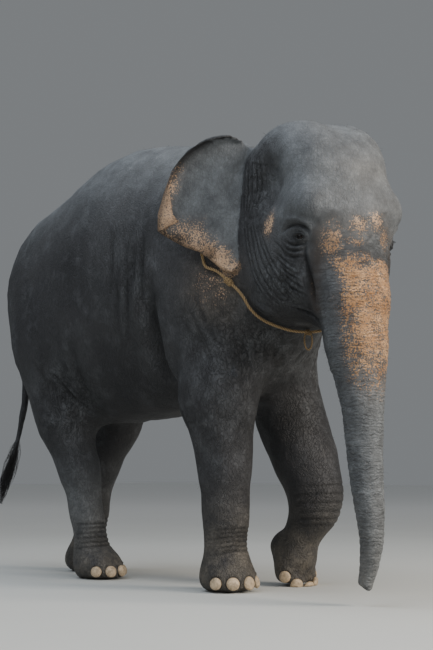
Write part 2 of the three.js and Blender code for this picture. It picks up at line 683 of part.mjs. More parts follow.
// the switch: a flat brush of bristles round the last third of the tail
const switchCurve = curveOf([[0, 1965, 840], [0, 1998, 740], [0, 2050, 615], [0, 2105, 505], [0, 2140, 385]]);
const switchRadius = (u) => {
  const swell = Math.sin(Math.PI * Math.min(0.12 + u * 0.9, 1)) ** 0.7;
  return [mix(10, 26, swell), mix(8, 62, swell)];
};
add('tail_switch', sleeve(switchCurve, 6, 6, switchRadius).subtract(tailSleeve), HAIR);

// the rope lies on the neck: from a middle point it goes out to the skin
const slopeLength = Math.hypot(1, ROPE_PLANE.slope);
function onNeck(angle, lift) {
  const up = Math.cos(angle);
  const across = Math.sin(angle);
  let d = 120;
  const point = () => {
    const z = ROPE_PLANE.up + (up * d) / slopeLength;
    const t = ROPE_PLANE.ahead - (up * d * ROPE_PLANE.slope) / slopeLength;
    const { push, foot, rise, fall } = ROPE_BEHIND_EARS;
    const share = THREE.MathUtils.smoothstep(z, foot, foot + rise);
    const fade = Math.exp(-((Math.max(z - EAR.rootFoot, 0) / fall) ** 2));
    return headPoint(across * d, t - push * share * fade, z);
  };
  while (body(...point()) < lift && d < 900) d += 2;
  return point();
}
const ring = [];
for (let i = 0; i < 24; i++) ring.push(onNeck((2 * Math.PI * i) / 24, ROPE_RADIUS + ROPE_LIFT));
let rope = sleeve(curveOf(ring, true), 34, 4, () => [ROPE_RADIUS, ROPE_RADIUS], true);
// a knot at the near side, and a small bight that hangs from the throat
const KNOT = { angle: -1.8, size: [15, 20, 26] };
const knot = new THREE.SphereGeometry(1, 6, 4);
knot.scale(...KNOT.size);
knot.translate(...onNeck(KNOT.angle, KNOT.size[0] + 6));
const throat = onNeck(Math.PI, ROPE_RADIUS + ROPE_LIFT);
const BIGHT = { halfWidth: 22, drop: 92, radius: 5 };
const bight = [];
for (let i = 0; i < 8; i++) {
  const a = (2 * Math.PI * i) / 8;
  const across = Math.sin(a) * BIGHT.halfWidth;
  const down = (BIGHT.drop / 2) * (1 - Math.cos(a));
  bight.push([throat[0] - fy * across, throat[1] + fx * across, throat[2] - down]);
}
rope = rope
  .add(solid(knot))
  .add(sleeve(curveOf(bight, true), 10, 4, () => [BIGHT.radius, BIGHT.radius], true));
add('neck_rope', rope, ROPE);

// ------------------------------------------------------------------- hand over
function toMesh({ name, m, look }) {
  const out = m.getMesh();
  const g = new THREE.BufferGeometry();
  const n = out.numProp;
  const pos = new Float32Array((out.vertProperties.length / n) * 3);
  for (let i = 0; i < pos.length / 3; i++) {
    for (let c = 0; c < 3; c++) pos[i * 3 + c] = out.vertProperties[i * n + c];
  }
  g.setAttribute('position', new THREE.BufferAttribute(pos, 3));
  g.setIndex(new THREE.BufferAttribute(new Uint32Array(out.triVerts), 1));
  const mesh = new THREE.Mesh(g, new THREE.MeshStandardMaterial(look));
  mesh.name = name;
  return mesh;
}
for (const p of pieces) group.add(toMesh(p));
const bounds = new THREE.Box3().setFromObject(group);
group.position.set(-(bounds.min.x + bounds.max.x) / 2, -(bounds.min.y + bounds.max.y) / 2, -bounds.min.z);

export default group;
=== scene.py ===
# %% [markdown]
# # An Asian elephant cow, life size
# The model is a museum figure in a slow walk, with the head turned to her right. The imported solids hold
# every proportion. This script gives them their finish: one skin over all the flesh, horn nails, wet
# eyes, bristles, the twisted rope round the neck, and a pale studio to stand in.

# %% Tools and the frame
import json
import math
import time

import bmesh
import bpy
import numpy as np
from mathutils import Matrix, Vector, kdtree
from mathutils.bvhtree import BVHTree
from mathutils.interpolate import poly_3d_calc


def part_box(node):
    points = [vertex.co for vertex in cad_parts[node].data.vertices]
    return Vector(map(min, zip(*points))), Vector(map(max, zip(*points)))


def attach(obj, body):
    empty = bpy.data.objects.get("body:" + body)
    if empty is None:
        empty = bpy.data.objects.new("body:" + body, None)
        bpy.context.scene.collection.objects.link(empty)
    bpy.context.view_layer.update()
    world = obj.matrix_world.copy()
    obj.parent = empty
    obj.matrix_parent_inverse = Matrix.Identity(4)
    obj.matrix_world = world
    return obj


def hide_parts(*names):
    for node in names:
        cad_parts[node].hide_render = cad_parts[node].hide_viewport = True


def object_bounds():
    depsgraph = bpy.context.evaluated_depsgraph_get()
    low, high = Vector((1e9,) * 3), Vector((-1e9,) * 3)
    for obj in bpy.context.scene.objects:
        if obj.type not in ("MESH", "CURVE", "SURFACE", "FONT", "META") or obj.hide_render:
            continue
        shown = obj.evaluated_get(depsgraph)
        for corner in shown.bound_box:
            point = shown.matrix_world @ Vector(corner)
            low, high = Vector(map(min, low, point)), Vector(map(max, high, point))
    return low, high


START = time.perf_counter()
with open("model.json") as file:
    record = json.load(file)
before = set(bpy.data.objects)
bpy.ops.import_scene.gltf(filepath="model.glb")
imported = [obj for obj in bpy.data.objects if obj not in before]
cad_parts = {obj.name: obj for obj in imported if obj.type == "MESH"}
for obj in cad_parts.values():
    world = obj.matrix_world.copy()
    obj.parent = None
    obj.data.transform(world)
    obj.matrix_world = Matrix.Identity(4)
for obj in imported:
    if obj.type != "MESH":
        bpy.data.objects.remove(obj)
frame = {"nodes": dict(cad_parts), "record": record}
CAD_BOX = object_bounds()
NODES = frame["nodes"]
SLOTS = {part["node"]: part["material_slot"] for part in frame["record"]["subparts"]}
print("nodes", len(NODES), "box", [round(v, 3) for corner in CAD_BOX for v in corner])


# %% [markdown]
# ## Places on the body
# Two frames are used. The body's own frame is the row's frame, in metres. The head is turned, so its
# places are given in a frame of its own: side (positive to her left), ahead of the neck's turning point,
# and up from the floor. The turning point is found from the two eyeballs, which lie the same way out from
# the head's middle plane.

# %% The head's frame
HEAD_YAW = math.radians(22)
EYES_AHEAD_OF_PIVOT = 0.7794
AHEAD = np.array([-math.sin(HEAD_YAW), -math.cos(HEAD_YAW)])
SIDE = np.array([-AHEAD[1], AHEAD[0]])
EYE_NODES = {-1: "eye_right", 1: "eye_left"}
eye_centres = {side: np.array(sum(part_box(node), Vector()) / 2) for side, node in EYE_NODES.items()}
PIVOT = (eye_centres[-1] + eye_centres[1])[:2] / 2 - EYES_AHEAD_OF_PIVOT * AHEAD
BODY_ORIGIN = PIVOT + [0, 0.1]


def head_point(side, ahead, up):
    """A place in the row's frame from one in the head's frame. Numbers are in metres, or arrays of them."""
    flat = PIVOT + np.multiply.outer(side, SIDE) + np.multiply.outer(ahead, AHEAD)
    return np.concatenate([flat, np.asarray(up, float)[..., None]], axis=-1)


def in_head(points):
    """Side, ahead and up of row points, as three columns."""
    flat = points[:, :2] - PIVOT
    return np.stack([flat @ SIDE, flat @ AHEAD, points[:, 2]], axis=1)


def body_point(x, y, z):
    """A place in the row's frame, from one measured from 0.1 m behind the neck's turning point."""
    return np.array([BODY_ORIGIN[0] + x, BODY_ORIGIN[1] + y, z])


print("neck turns at", PIVOT.round(3))


# %% Small helpers for meshes
def only(*objects):
    """Selects these objects and nothing else, the first one active."""
    bpy.ops.object.select_all(action="DESELECT")
    for obj in objects:
        obj.select_set(True)
    bpy.context.view_layer.objects.active = objects[0]


def points_of(obj):
    co = np.empty(len(obj.data.vertices) * 3)
    obj.data.vertices.foreach_get("co", co)
    return co.reshape(-1, 3)


def set_points(obj, points):
    obj.data.vertices.foreach_set("co", np.ascontiguousarray(points, float).ravel())
    obj.data.update()


def normals_of(obj):
    no = np.empty(len(obj.data.vertices) * 3)
    obj.data.vertices.foreach_get("normal", no)
    return no.reshape(-1, 3)


def edges_of(obj):
    ends = np.empty(len(obj.data.edges) * 2, np.int32)
    obj.data.edges.foreach_get("vertices", ends)
    return ends.reshape(-1, 2)


def modify(obj, kind, **settings):
    """Adds one modifier and applies it at once."""
    only(obj)
    modifier = obj.modifiers.new(kind.title(), kind)
    for name, value in settings.items():
        setattr(modifier, name, value)
    bpy.ops.object.modifier_apply(modifier=modifier.name)


def edit_whole(obj, *steps):
    """Runs mesh operators on the whole of an object, each given as its name and its settings."""
    only(obj)
    bpy.ops.object.mode_set(mode="EDIT")
    bpy.ops.mesh.select_all(action="SELECT")
    for operator, settings in steps:
        getattr(bpy.ops.mesh, operator)(**settings)
    bpy.ops.object.mode_set(mode="OBJECT")


OUTWARD = ("normals_make_consistent", {"inside": False})


def merge(obj, gap=0.0001):
    """Welds points that lie closer than gap."""
    edit_whole(obj, ("remove_doubles", {"threshold": gap}))


def keep_numbers(obj, name, values):
    """Keeps one number for each point of an object, under a name that its material reads."""
    kept = obj.data.attributes.get(name) or obj.data.attributes.new(name, "FLOAT", "POINT")
    kept.data.foreach_set("value", np.ascontiguousarray(values, float))


def surface_tree(obj):
    """A tree that finds the nearest place on an object's faces."""
    return BVHTree.FromPolygons(points_of(obj).tolist(), [tuple(face.vertices) for face in obj.data.polygons])


def point_tree(places):
    """A tree that finds the nearest of some points, by its index."""
    tree = kdtree.KDTree(len(places))
    for index, place in enumerate(places):
        tree.insert(place, index)
    tree.balance()
    return tree


def unit(ways):
    """The same ways, each one metre long."""
    return ways / np.linalg.norm(ways, axis=-1, keepdims=True)


def joined(objects, name):
    only(*objects)
    bpy.ops.object.join()
    objects[0].name = name
    return objects[0]


BOTH_SIDES = (-1, 1)  # her right and her left


def ramp(value, low, high):
    """0 below low, 1 above high, smooth between."""
    x = np.clip((value - low) / (high - low), 0, 1)
    return x * x * (3 - 2 * x)


def bump(value, middle, width):
    """A soft hill of height 1 at middle, that falls away over width."""
    return np.exp(-(((value - middle) / width) ** 2))


def relax(points, ends, rounds, strength):
    """Moves every point towards the middle of its neighbours, some rounds over."""
    count = len(points)
    degree = np.bincount(ends.ravel(), minlength=count)
    points = points.copy()
    step = (strength / np.maximum(degree, 1))[:, None]
    for _ in range(rounds):
        total = np.empty_like(points)
        for axis in range(points.shape[1]):
            total[:, axis] = np.bincount(ends[:, 0], points[ends[:, 1], axis], count)
            total[:, axis] += np.bincount(ends[:, 1], points[ends[:, 0], axis], count)
        points += step * (total - degree[:, None] * points)
    return points


def fair(points, ends, rounds, strength, gives_back=2):
    """Smooths small facets away and then gives back what the large forms lost."""
    smooth = relax(points, ends, rounds, strength)
    for _ in range(gives_back):
        smooth += relax(points - smooth, ends, rounds, strength)
    return smooth


RANDOM = np.random.default_rng(11)
LATTICE = RANDOM.random((32, 32, 32)) * 2 - 1


def cloud(points, size):
    """Smooth noise from -1 to 1 whose blobs are about size metres across."""
    grid = points / size
    low = np.floor(grid).astype(int)
    part = grid - low
    part = part * part * (3 - 2 * part)
    total = np.zeros(len(points))
    for corner in np.ndindex(2, 2, 2):
        weight = np.prod(np.where(corner, part, 1 - part), axis=1)
        x, y, z = ((low + corner) % 32).T
        total += weight * LATTICE[x, y, z]
    return total


# %% [markdown]
# ## Clay: the barrel, the legs and the head
# A museum figure is often built as a rough form of clay which is then faired until light runs over it
# with no facet. Here the solids of the flesh are copied and joined, and a voxel remesh wraps them in one
# even net that closes the thin cuts between them. Each point is then drawn to its neighbours, further
# where the solids' facets are larger, and what the large forms lost in that is given back. Sculpting with
# a brush would do the same by hand.

# %% One clay body from the copied solids
CLAY_VOXEL = 0.020
FAIRING_ROUNDS = 60
LARGEST_FACET = 0.150
LEG_PARTS = ("foreleg", "hindleg", "forefoot", "hindfoot")
LEAST_LEG_FACET = 0.085  # the legs are faired as if none of their facets were smaller
FINE_PARTS = ("ear", "tail", "trunk_middle", "trunk_lower", "trunk_tip", "neck_rope")
clay_names = sorted(name for name in NODES if not name.startswith(FINE_PARTS))


def copy_of(node):
    obj = NODES[node].copy()
    obj.data = obj.data.copy()
    obj.parent = None
    for key in list(obj.keys()):
        del obj[key]
    bpy.context.scene.collection.objects.link(obj)
    obj.data.materials.clear()
    return obj


copies = []
facets = kdtree.KDTree(sum(len(NODES[name].data.polygons) for name in clay_names))
for name in clay_names:
    sizes = sorted(math.sqrt(face.area) for face in NODES[name].data.polygons)
    for face in NODES[name].data.polygons:
        facets.insert(face.center, len(copies))
    copies.append(copy_of(name))
    copies[-1]["facet"] = max(sizes[int(len(sizes) * 0.8)], LEAST_LEG_FACET * name.startswith(LEG_PARTS))
facets.balance()
facet_sizes = np.array([obj["facet"] for obj in copies])
print("facet sizes", dict(zip(clay_names, facet_sizes.round(3))))
clay = joined(copies, "clay")
merge(clay)
modify(clay, "REMESH", mode="VOXEL", voxel_size=CLAY_VOXEL, adaptivity=0)
print("clay", len(clay.data.vertices), "points", round(time.perf_counter() - START, 1), "s")


# %% The largest closed shell is kept, and bubbles in the cuts are dropped
def keep_largest(obj):
    mesh = bmesh.new()
    mesh.from_mesh(obj.data)
    mesh.verts.ensure_lookup_table()
    seen = np.zeros(len(mesh.verts), bool)
    shells = []
    for vert in mesh.verts:
        if seen[vert.index]:
            continue
        seen[vert.index] = True
        shell = [vert]
        for member in shell:
            for edge in member.link_edges:
                other = edge.other_vert(member)
                if not seen[other.index]:
                    seen[other.index] = True
                    shell.append(other)
        shells.append(shell)
    shells.sort(key=len)
    for shell in shells[:-1]:
        bmesh.ops.delete(mesh, geom=shell, context="VERTS")
    mesh.to_mesh(obj.data)
    mesh.free()
    return len(shells)


print("shells in the clay", keep_largest(clay))
clay_points = points_of(clay)
clay_ends = edges_of(clay)
facet_at = np.array([facet_sizes[facets.find(p)[1]] for p in clay_points])
fairing = relax(facet_at[:, None], clay_ends, 10, np.full(len(clay_points), 0.5))[:, 0]
fairing = 0.5 * np.minimum((fairing / LARGEST_FACET) ** 2, 1)
set_points(clay, fair(clay_points, clay_ends, FAIRING_ROUNDS, fairing))
modify(clay, "SUBSURF", levels=1, render_levels=1)
print("faired clay", len(clay.data.vertices), "points", round(time.perf_counter() - START, 1), "s")


# %% [markdown]
# ## Trunk and tail
# Both are long tapering tubes. A round bar would have to be bent along its whole length, so a flat grid
# is rolled up instead: its rows become rings across a smooth line through the solids' middle, and each
# ring takes its own radius.

# %% Rolling a grid into a tube
def smooth_line(points, steps):
    """A Catmull-Rom line through the given rows of numbers, at even steps of its own parameter."""
    points = np.array(points, float)
    padded = np.vstack([2 * points[0] - points[1], points, 2 * points[-1] - points[-2]])
    at = np.linspace(0, len(points) - 1 - 1e-9, steps)
    index = at.astype(int)
    u = (at - index)[:, None]
    a, b, c, d = (padded[index + k] for k in range(4))
    return 0.5 * (2 * b + (c - a) * u + (2 * a - 5 * b + 4 * c - d) * u**2 + (3 * b - a - 3 * c + d) * u**3)


def grid_points(name, columns, rows):
    """A new flat grid, with each point's place in it from 0 to 1 both ways."""
    bpy.ops.object.select_all(action="DESELECT")
    bpy.ops.mesh.primitive_grid_add(x_subdivisions=columns, y_subdivisions=rows, size=1)
    obj = bpy.context.object
    obj.name = name
    flat = points_of(obj)
    return obj, flat[:, 0] + 0.5, flat[:, 1] + 0.5


def rolled_tube(name, middles, radii, sides, across, section=None, twist=0.0, closed=False):
    """A tube along middles. across is the way that each ring's first radius points, before any twist in
    radians. A closed line's last middle is its first again."""
    rings = len(middles)
    obj, around, along = grid_points(name, sides, rings - 1)
    ring = np.rint(along * (rings - 1)).astype(int)
    if closed:
        ahead = np.gradient(np.vstack([middles[-2], middles, middles[1]]), axis=0)[1:-1]
    else:
        ahead = np.gradient(middles, axis=0)
    ahead = unit(ahead)
    first = unit(across - ahead * (ahead @ across)[:, None])
    second = np.cross(ahead, first)
    angle = around * 2 * math.pi
    shape = np.ones(len(angle)) if section is None else section(angle, ring / (rings - 1))
    turned = angle + twist * ring / (rings - 1)
    way = np.cos(turned)[:, None] * first[ring] + np.sin(turned)[:, None] * second[ring]
    set_points(obj, middles[ring] + (radii[ring] * shape)[:, None] * way)
    keep_numbers(obj, "crown", shape)
    merge(obj, 0.00005)
    edit_whole(obj, *([] if closed else [("fill_holes", {"sides": 0})]), OUTWARD)
    return obj


# %% The trunk, with a finger and two nostrils at its tip
# ahead, up, radius, all at the head's middle plane
TRUNK_LINE = [
    (0.832, 1.450, 0.160), (0.838, 1.400, 0.163), (0.866, 1.200, 0.147), (0.893, 1.040, 0.122),
    (0.912, 0.900, 0.100), (0.928, 0.700, 0.084), (0.946, 0.560, 0.077), (0.968, 0.410, 0.067),
    (0.974, 0.300, 0.057), (0.956, 0.190, 0.046), (0.926, 0.118, 0.038), (0.912, 0.092, 0.036)
]
TRUNK_RINGS = 160
trunk_line = smooth_line(TRUNK_LINE, TRUNK_RINGS)
trunk_middle = head_point(np.zeros(TRUNK_RINGS), trunk_line[:, 0], trunk_line[:, 1])
trunk_radius = trunk_line[:, 2].copy()
trunk_radius[-4:] *= [0.98, 0.94, 0.86, 0.72]


def trunk_section(angle, along):
    """The front of the trunk is round, and its back is flatter between two low ridges."""
    back = np.maximum(-np.cos(angle), 0)
    ridges = bump(np.abs(np.angle(np.exp(1j * (angle - math.pi)))), 0.75, 0.3)
    return 1 - 0.10 * ramp(along, 0.15, 0.5) * back**2 + 0.04 * ridges * ramp(along, 0.15, 0.5)


trunk = rolled_tube("trunk", trunk_middle, trunk_radius, 56, np.array([*AHEAD, 0.0]), trunk_section)
print("trunk", len(trunk.data.vertices), "points")

# %% The tail
TAIL_LINE = [
    (1.770, 1.945), (1.850, 1.850), (1.908, 1.700), (1.918, 1.440), (1.902, 1.180), (1.910, 1.040),
    (1.972, 0.810), (2.042, 0.630)
]
TAIL_RINGS = 90
tail_line = smooth_line(TAIL_LINE, TAIL_RINGS)
tail_middle = np.array([body_point(0, back, up) for back, up in tail_line])
tail_share = np.linspace(0, 1, TAIL_RINGS)
tail_radius = np.interp(tail_share, [0, 0.10, 0.28, 1], [0.030, 0.056, 0.036, 0.013])
tail_radius[-3:] *= [0.95, 0.85, 0.6]
tail = rolled_tube("tail_form", tail_middle, tail_radius, 28, np.array([1.0, 0.0, 0.0]))
print("tail", len(tail.data.vertices), "points")


# %% [markdown]
# ## Ears
# An ear is a thin sheet, stiff at its root and loose at its rim, where it rolls over. It is a grid laid
# out in the ear's own plan: how far behind the root a point lies, how high, and how far off the sheet.
# The last columns of the grid are the rolled rim, which on her right ear widens into a flap folded
# forward over the face of the ear.

# %% One ear as a grid and a Solidify modifier
EAR_SIDE, EAR_AHEAD, EAR_DEPTH = 0.300, 0.315, 0.040
ROOT_TOP, ROOT_FOOT = 2.215, 1.660
EAR_EDGE = [
    (0.014, 2.242), (0.095, 2.250), (0.195, 2.225), (0.298, 2.160), (0.360, 2.065), (0.405, 1.955),
    (0.430, 1.848), (0.408, 1.785), (0.318, 1.738), (0.215, 1.690), (0.135, 1.625), (0.085, 1.588),
    (0.045, 1.605), (0.0, 1.655)
]
EAR_FLARE = {-1: (78, 46), 1: (78, 30)}
EAR_BEND = 0.170
EAR_ROWS, EAR_COLUMNS, RIM_COLUMNS = 130, 70, 26
SHEET_THICKNESS, RIM_THICKNESS = 0.024, 0.010


def ear_plan(flare):
    """The ear seen from above: side, ahead and heading at each step back from the root."""
    step = 0.005
    back = np.arange(-EAR_DEPTH - 0.010, 0.520, step)
    bend = np.clip(back / EAR_BEND, 0, 1)
    heading = np.radians(flare[0] * (1 - bend) + flare[1] * bend)
    side = EAR_SIDE - EAR_DEPTH - 0.010 + np.concatenate([[0], np.cumsum(np.sin(heading) * step)[:-1]])
    ahead = EAR_AHEAD - np.concatenate([[0], np.cumsum(np.cos(heading) * step)[:-1]])
    return back, side, ahead, heading


def ear_place(her_side, back, up, off):
    """A row point from one in the ear's plan, off is how far it stands out from the sheet."""
    plan_back, plan_side, plan_ahead, plan_heading = ear_plan(EAR_FLARE[her_side])
    heading = np.interp(back, plan_back, plan_heading)
    down = (ROOT_TOP - up) / (ROOT_TOP - ROOT_FOOT)
    out = off - 0.022 * np.maximum(down - 0.6, 0) * back / 0.1
    side = np.interp(back, plan_back, plan_side) + np.cos(heading) * out
    ahead = np.interp(back, plan_back, plan_ahead) + np.sin(heading) * out
    return head_point(her_side * side, ahead, up)


ear_marks = []  # for each ear: its sheet's points, how pink they are, how deep in the roll


def make_ear(her_side, name):
    obj, across, down = grid_points(name, EAR_COLUMNS + RIM_COLUMNS - 1, EAR_ROWS - 1)
    columns = np.rint(across * (EAR_COLUMNS + RIM_COLUMNS - 1)).astype(int)
    share = np.clip(columns / (EAR_COLUMNS - 1), 0, 1)
    rim_step = np.clip((columns - EAR_COLUMNS + 1) / RIM_COLUMNS, 0, 1)
    rows = np.rint(down * (EAR_ROWS - 1)).astype(int)
    edge = smooth_line(EAR_EDGE, EAR_ROWS)
    along = unit(np.gradient(edge, axis=0))
    inward = np.stack([along[:, 1], -along[:, 0]], axis=1)[rows]
    edge_back, edge_up = edge[rows].T
    root_up = ROOT_TOP + (ROOT_FOOT - ROOT_TOP) * down
    high_up = np.minimum(1, np.maximum(0, 1 - down / 0.62) * 2.2)
    curl = 0.034 * np.maximum(0, (share - 0.72) / 0.28) ** 2 * high_up
    ripple = 0.007 * np.sin(down * 9.5) * share**2
    ruffle = 0.006 * np.sin(down * 34 + 2 * share) * ramp(share, 0.6, 1) * ramp(down, 0.35, 0.6)
    roll_radius = np.full(len(share), 0.007)
    roll_length = np.full(len(share), 0.016)
    top = ramp(down, 0.02, 0.08) * (1 - ramp(down, 0.30, 0.36))
    roll_radius += 0.006 * top
    roll_length += 0.030 * top
    if her_side < 0:
        flap = ramp(down, 0.33, 0.345) * (1 - ramp(down, 0.505, 0.512))
        widening = np.clip((down - 0.33) / 0.17, 0, 1)
        roll_radius += flap * (0.002 + 0.010 * widening)
        roll_length += flap * (0.020 + 0.150 * widening)
    roll_length *= 0.12 + 0.88 * ramp(down, 0.0, 0.07)
    gone = rim_step * roll_length
    turn = np.minimum(gone / roll_radius, math.pi)
    over = np.maximum(gone - math.pi * roll_radius, 0)
    reach = -roll_radius * np.sin(turn) + over
    rise = roll_radius * (1 - np.cos(turn))
    hollow = -0.020 * bump(share - 0.35 * (down - 0.2), 0.20, 0.07) * bump(down, 0.28, 0.20)
    back = -EAR_DEPTH + (edge_back + EAR_DEPTH) * share + inward[:, 0] * reach
    up = root_up + (edge_up - root_up) * share + inward[:, 1] * reach
    sheet = ear_place(her_side, back, up, curl + ripple + ruffle + hollow + rise)
    set_points(obj, sheet)
    band = 0.80 * ramp(share, 0.50, 0.90) * ramp(down, 0.50, 0.60) * (1 - ramp(down, 0.90, 0.98))
    near_rim = 0.55 * ramp(share, 0.86, 1.0) * ramp(down, 0.22, 0.33)
    band = np.maximum(band * (0.75 + 0.25 * bump(down, 0.74, 0.10)), near_rim)
    if her_side < 0:
        band = np.maximum(band, 0.74 * flap * ramp(rim_step, 0.05, 0.15))
    in_roll = ramp(rim_step, 0.02, 0.2) * (1 - ramp(over, 0.0, 0.004))
    ear_marks.append((sheet, band * ramp(share, 0.2, 0.3), in_roll))
    thick = obj.vertex_groups.new(name="thick")
    amount = (1 - share) + share * RIM_THICKNESS / SHEET_THICKNESS
    for index, value in enumerate(amount):
        thick.add([index], float(value), "REPLACE")
    modify(obj, "SOLIDIFY", thickness=SHEET_THICKNESS, offset=0, vertex_group="thick")
    obj.vertex_groups.clear()
    edit_whole(obj, OUTWARD)
    return obj


ears = [make_ear(-1, "right_ear_form"), make_ear(1, "left_ear_form")]
print("ears", [len(ear.data.vertices) for ear in ears], round(time.perf_counter() - START, 1), "s")

# %% All forms become one skin
SKIN_VOXEL = 0.0075
TAIL_ROOT_REACH = 0.11
skin = joined([clay, trunk, tail, *ears], "skin")
modify(skin, "REMESH", mode="VOXEL", voxel_size=SKIN_VOXEL, adaptivity=0)
tail_root = np.linalg.norm(points_of(skin) - body_point(0, 1.86, 1.84), axis=1)
at_tail_root = 0.5 * bump(tail_root, 0, TAIL_ROOT_REACH)
set_points(skin, fair(points_of(skin), edges_of(skin), FAIRING_ROUNDS, at_tail_root, gives_back=1))
print("shells in the skin", keep_largest(skin), "points", len(skin.data.vertices))


# %% [markdown]
# ## Nails
# An elephant's nails are domed plates of horn in the front of each foot. Each is a copy of its solid,
# merged and smoothed by a Subdivision modifier, then enlarged by what smoothing takes from so coarse a
# dome. They are made before the sculpting, because the hide forms a low lip round each nail.

# %% Nails
NAIL_GROWTH = 1.12
nails = []
for name in sorted(node for node in NODES if SLOTS[node] == "nail"):
    nail = copy_of(name)
    nail.name = "horn_" + name
    merge(nail)
    places = points_of(nail)
    middle = (places.max(0) + places.min(0)) / 2
    set_points(nail, middle + (places - middle) * NAIL_GROWTH)
    modify(nail, "SUBSURF", levels=2, render_levels=2)
    places = points_of(nail)
    places[:, 2] = np.maximum(places[:, 2], 0.001)
    set_points(nail, places)
    bpy.ops.object.shade_smooth()
    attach(nail, "root")
    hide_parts(name)
    nails.append(nail)
print("nails", len(nails), "of", len(nails[0].data.polygons), "faces")


# %% [markdown]
# ## Sculpting the skin
# Folds are pressed into the skin along lines, as a loop tool does in clay: each line is laid on the skin,
# and every point near it sinks by a groove's section, with a low lip on both sides. All strokes add to
# one depth for each point, which moves the points along their normals once at the end. Lines on the head
# are written for one side, as side, ahead and up, and pressed on both.

# %% The stroke tool
ends = edges_of(skin)
rest = relax(points_of(skin), ends, 6, np.full(len(skin.data.vertices), 0.5))
set_points(skin, rest)
surface = surface_tree(skin)
facing = unit(relax(normals_of(skin), ends, 3, np.full(len(rest), 0.5)))
pressed = np.zeros(len(rest))
painted_crease_shade = np.zeros(len(rest))
print("surface ready", round(time.perf_counter() - START, 1), "s")


def stroke(line, width, depth, lip=0.35, shade=1.0, taper=0.3):
    """Presses a groove: width is its half width, depth its depth. taper is the share of the line that
    fades out."""
    line = np.asarray(line, float)
    length = np.linalg.norm(np.diff(line, axis=0), axis=1).sum()
    line = smooth_line(line, max(4, int(length / (width * 0.7))))
    found = [surface.find_nearest(Vector(point)) for point in line]
    line = np.array([hit[0] for hit in found])
    out = np.array([hit[1] for hit in found])
    low, high = line.min(0) - 3 * width, line.max(0) + 3 * width
    near = np.flatnonzero(((rest > low) & (rest < high)).all(1))
    start, span = line[:-1], np.diff(line, axis=0)
    to = rest[near][:, None, :] - start[None]
    share = np.clip((to * span).sum(2) / np.maximum((span * span).sum(1), 1e-12), 0, 1)
    gap = np.linalg.norm(to - share[..., None] * span, axis=2)
    nearest = gap.argmin(1)
    gap = gap[np.arange(len(near)), nearest] / width
    along = (nearest + share[np.arange(len(near)), nearest]) / len(span)
    fade = np.clip(np.minimum(along, 1 - along) / max(taper / 2, 1e-3), 0, 1) ** 0.7
    fade = fade * ((facing[near] * out[nearest]).sum(1) > 0.2)
    groove = np.exp(-1.6 * gap**2)
    pressed[near] += fade * depth * (lip * np.exp(-3 * (gap - 1.6) ** 2) - groove)
    # The groove's floor is darkened with painted shade; shade says how much.
    painted_crease_shade[near] = np.maximum(painted_crease_shade[near], shade * fade * groove * (gap < 2.5))


def swell(place, size, height):
    """Raises (or with a negative height, hollows) a soft round area about a row point."""
    to = (rest - place) / size
    pressed[:] += height * np.exp(-(to * to).sum(1))


def on_head(her_side, places):
    side, ahead, up = np.array(places, float).T
    return head_point(her_side * side, ahead, up)


def between(first, second, share):
    return np.array(first) * (1 - share) + np.array(second) * share


# %% Folds of the head
CHEEK_BACK = [
    (0.337, 0.362, 1.870), (0.339, 0.385, 1.729), (0.335, 0.430, 1.598), (0.312, 0.500, 1.470),
    (0.25, 0.56, 1.385)
]
CHEEK_FRONT = [
    (0.316, 0.470, 1.846), (0.329, 0.570, 1.683), (0.301, 0.655, 1.540), (0.245, 0.705, 1.440),
    (0.20, 0.73, 1.400)
]
EAR_ROOT_BACK = [(0.31, 0.345, 2.20), (0.335, 0.352, 2.06), (0.335, 0.356, 1.93), (0.335, 0.362, 1.84)]
EAR_ROOT_FRONT = [(0.27, 0.46, 2.17), (0.29, 0.47, 2.05), (0.30, 0.455, 1.93), (0.33, 0.42, 1.82)]
TRUNK_GROOVE = [
    (0.246, 0.812, 1.672), (0.238, 0.800, 1.610), (0.222, 0.805, 1.545), (0.207, 0.806, 1.485),
    (0.193, 0.800, 1.425), (0.172, 0.792, 1.350)
]
MOUTH = [(0.090, 0.800, 1.325), (0.150, 0.740, 1.325), (0.190, 0.680, 1.342), (0.215, 0.615, 1.385)]
BROW = [
    (0.292, 0.690, 1.756), (0.288, 0.730, 1.778), (0.270, 0.790, 1.778), (0.243, 0.832, 1.756),
    (0.226, 0.848, 1.728)
]
LID_FOLD = [
    (0.296, 0.680, 1.722), (0.286, 0.725, 1.744), (0.268, 0.782, 1.746), (0.246, 0.822, 1.726),
    (0.230, 0.840, 1.695)
]
BAGS = [[(0.292, 0.700, 1.690), (0.280, 0.735, 1.661), (0.262, 0.775, 1.655), (0.236, 0.818, 1.668)],
        [(0.296, 0.688, 1.668), (0.284, 0.728, 1.634), (0.262, 0.775, 1.628), (0.234, 0.812, 1.636)],
        [(0.300, 0.668, 1.648), (0.288, 0.712, 1.610), (0.262, 0.765, 1.600), (0.232, 0.805, 1.598)]]
CROSSING = [(0.310, 0.625, 1.700), (0.290, 0.690, 1.640), (0.258, 0.760, 1.585)]
JOWL = [
    (0.293, 0.350, 1.462), (0.283, 0.394, 1.428), (0.271, 0.435, 1.400), (0.254, 0.486, 1.372),
    (0.191, 0.500, 1.345)
]
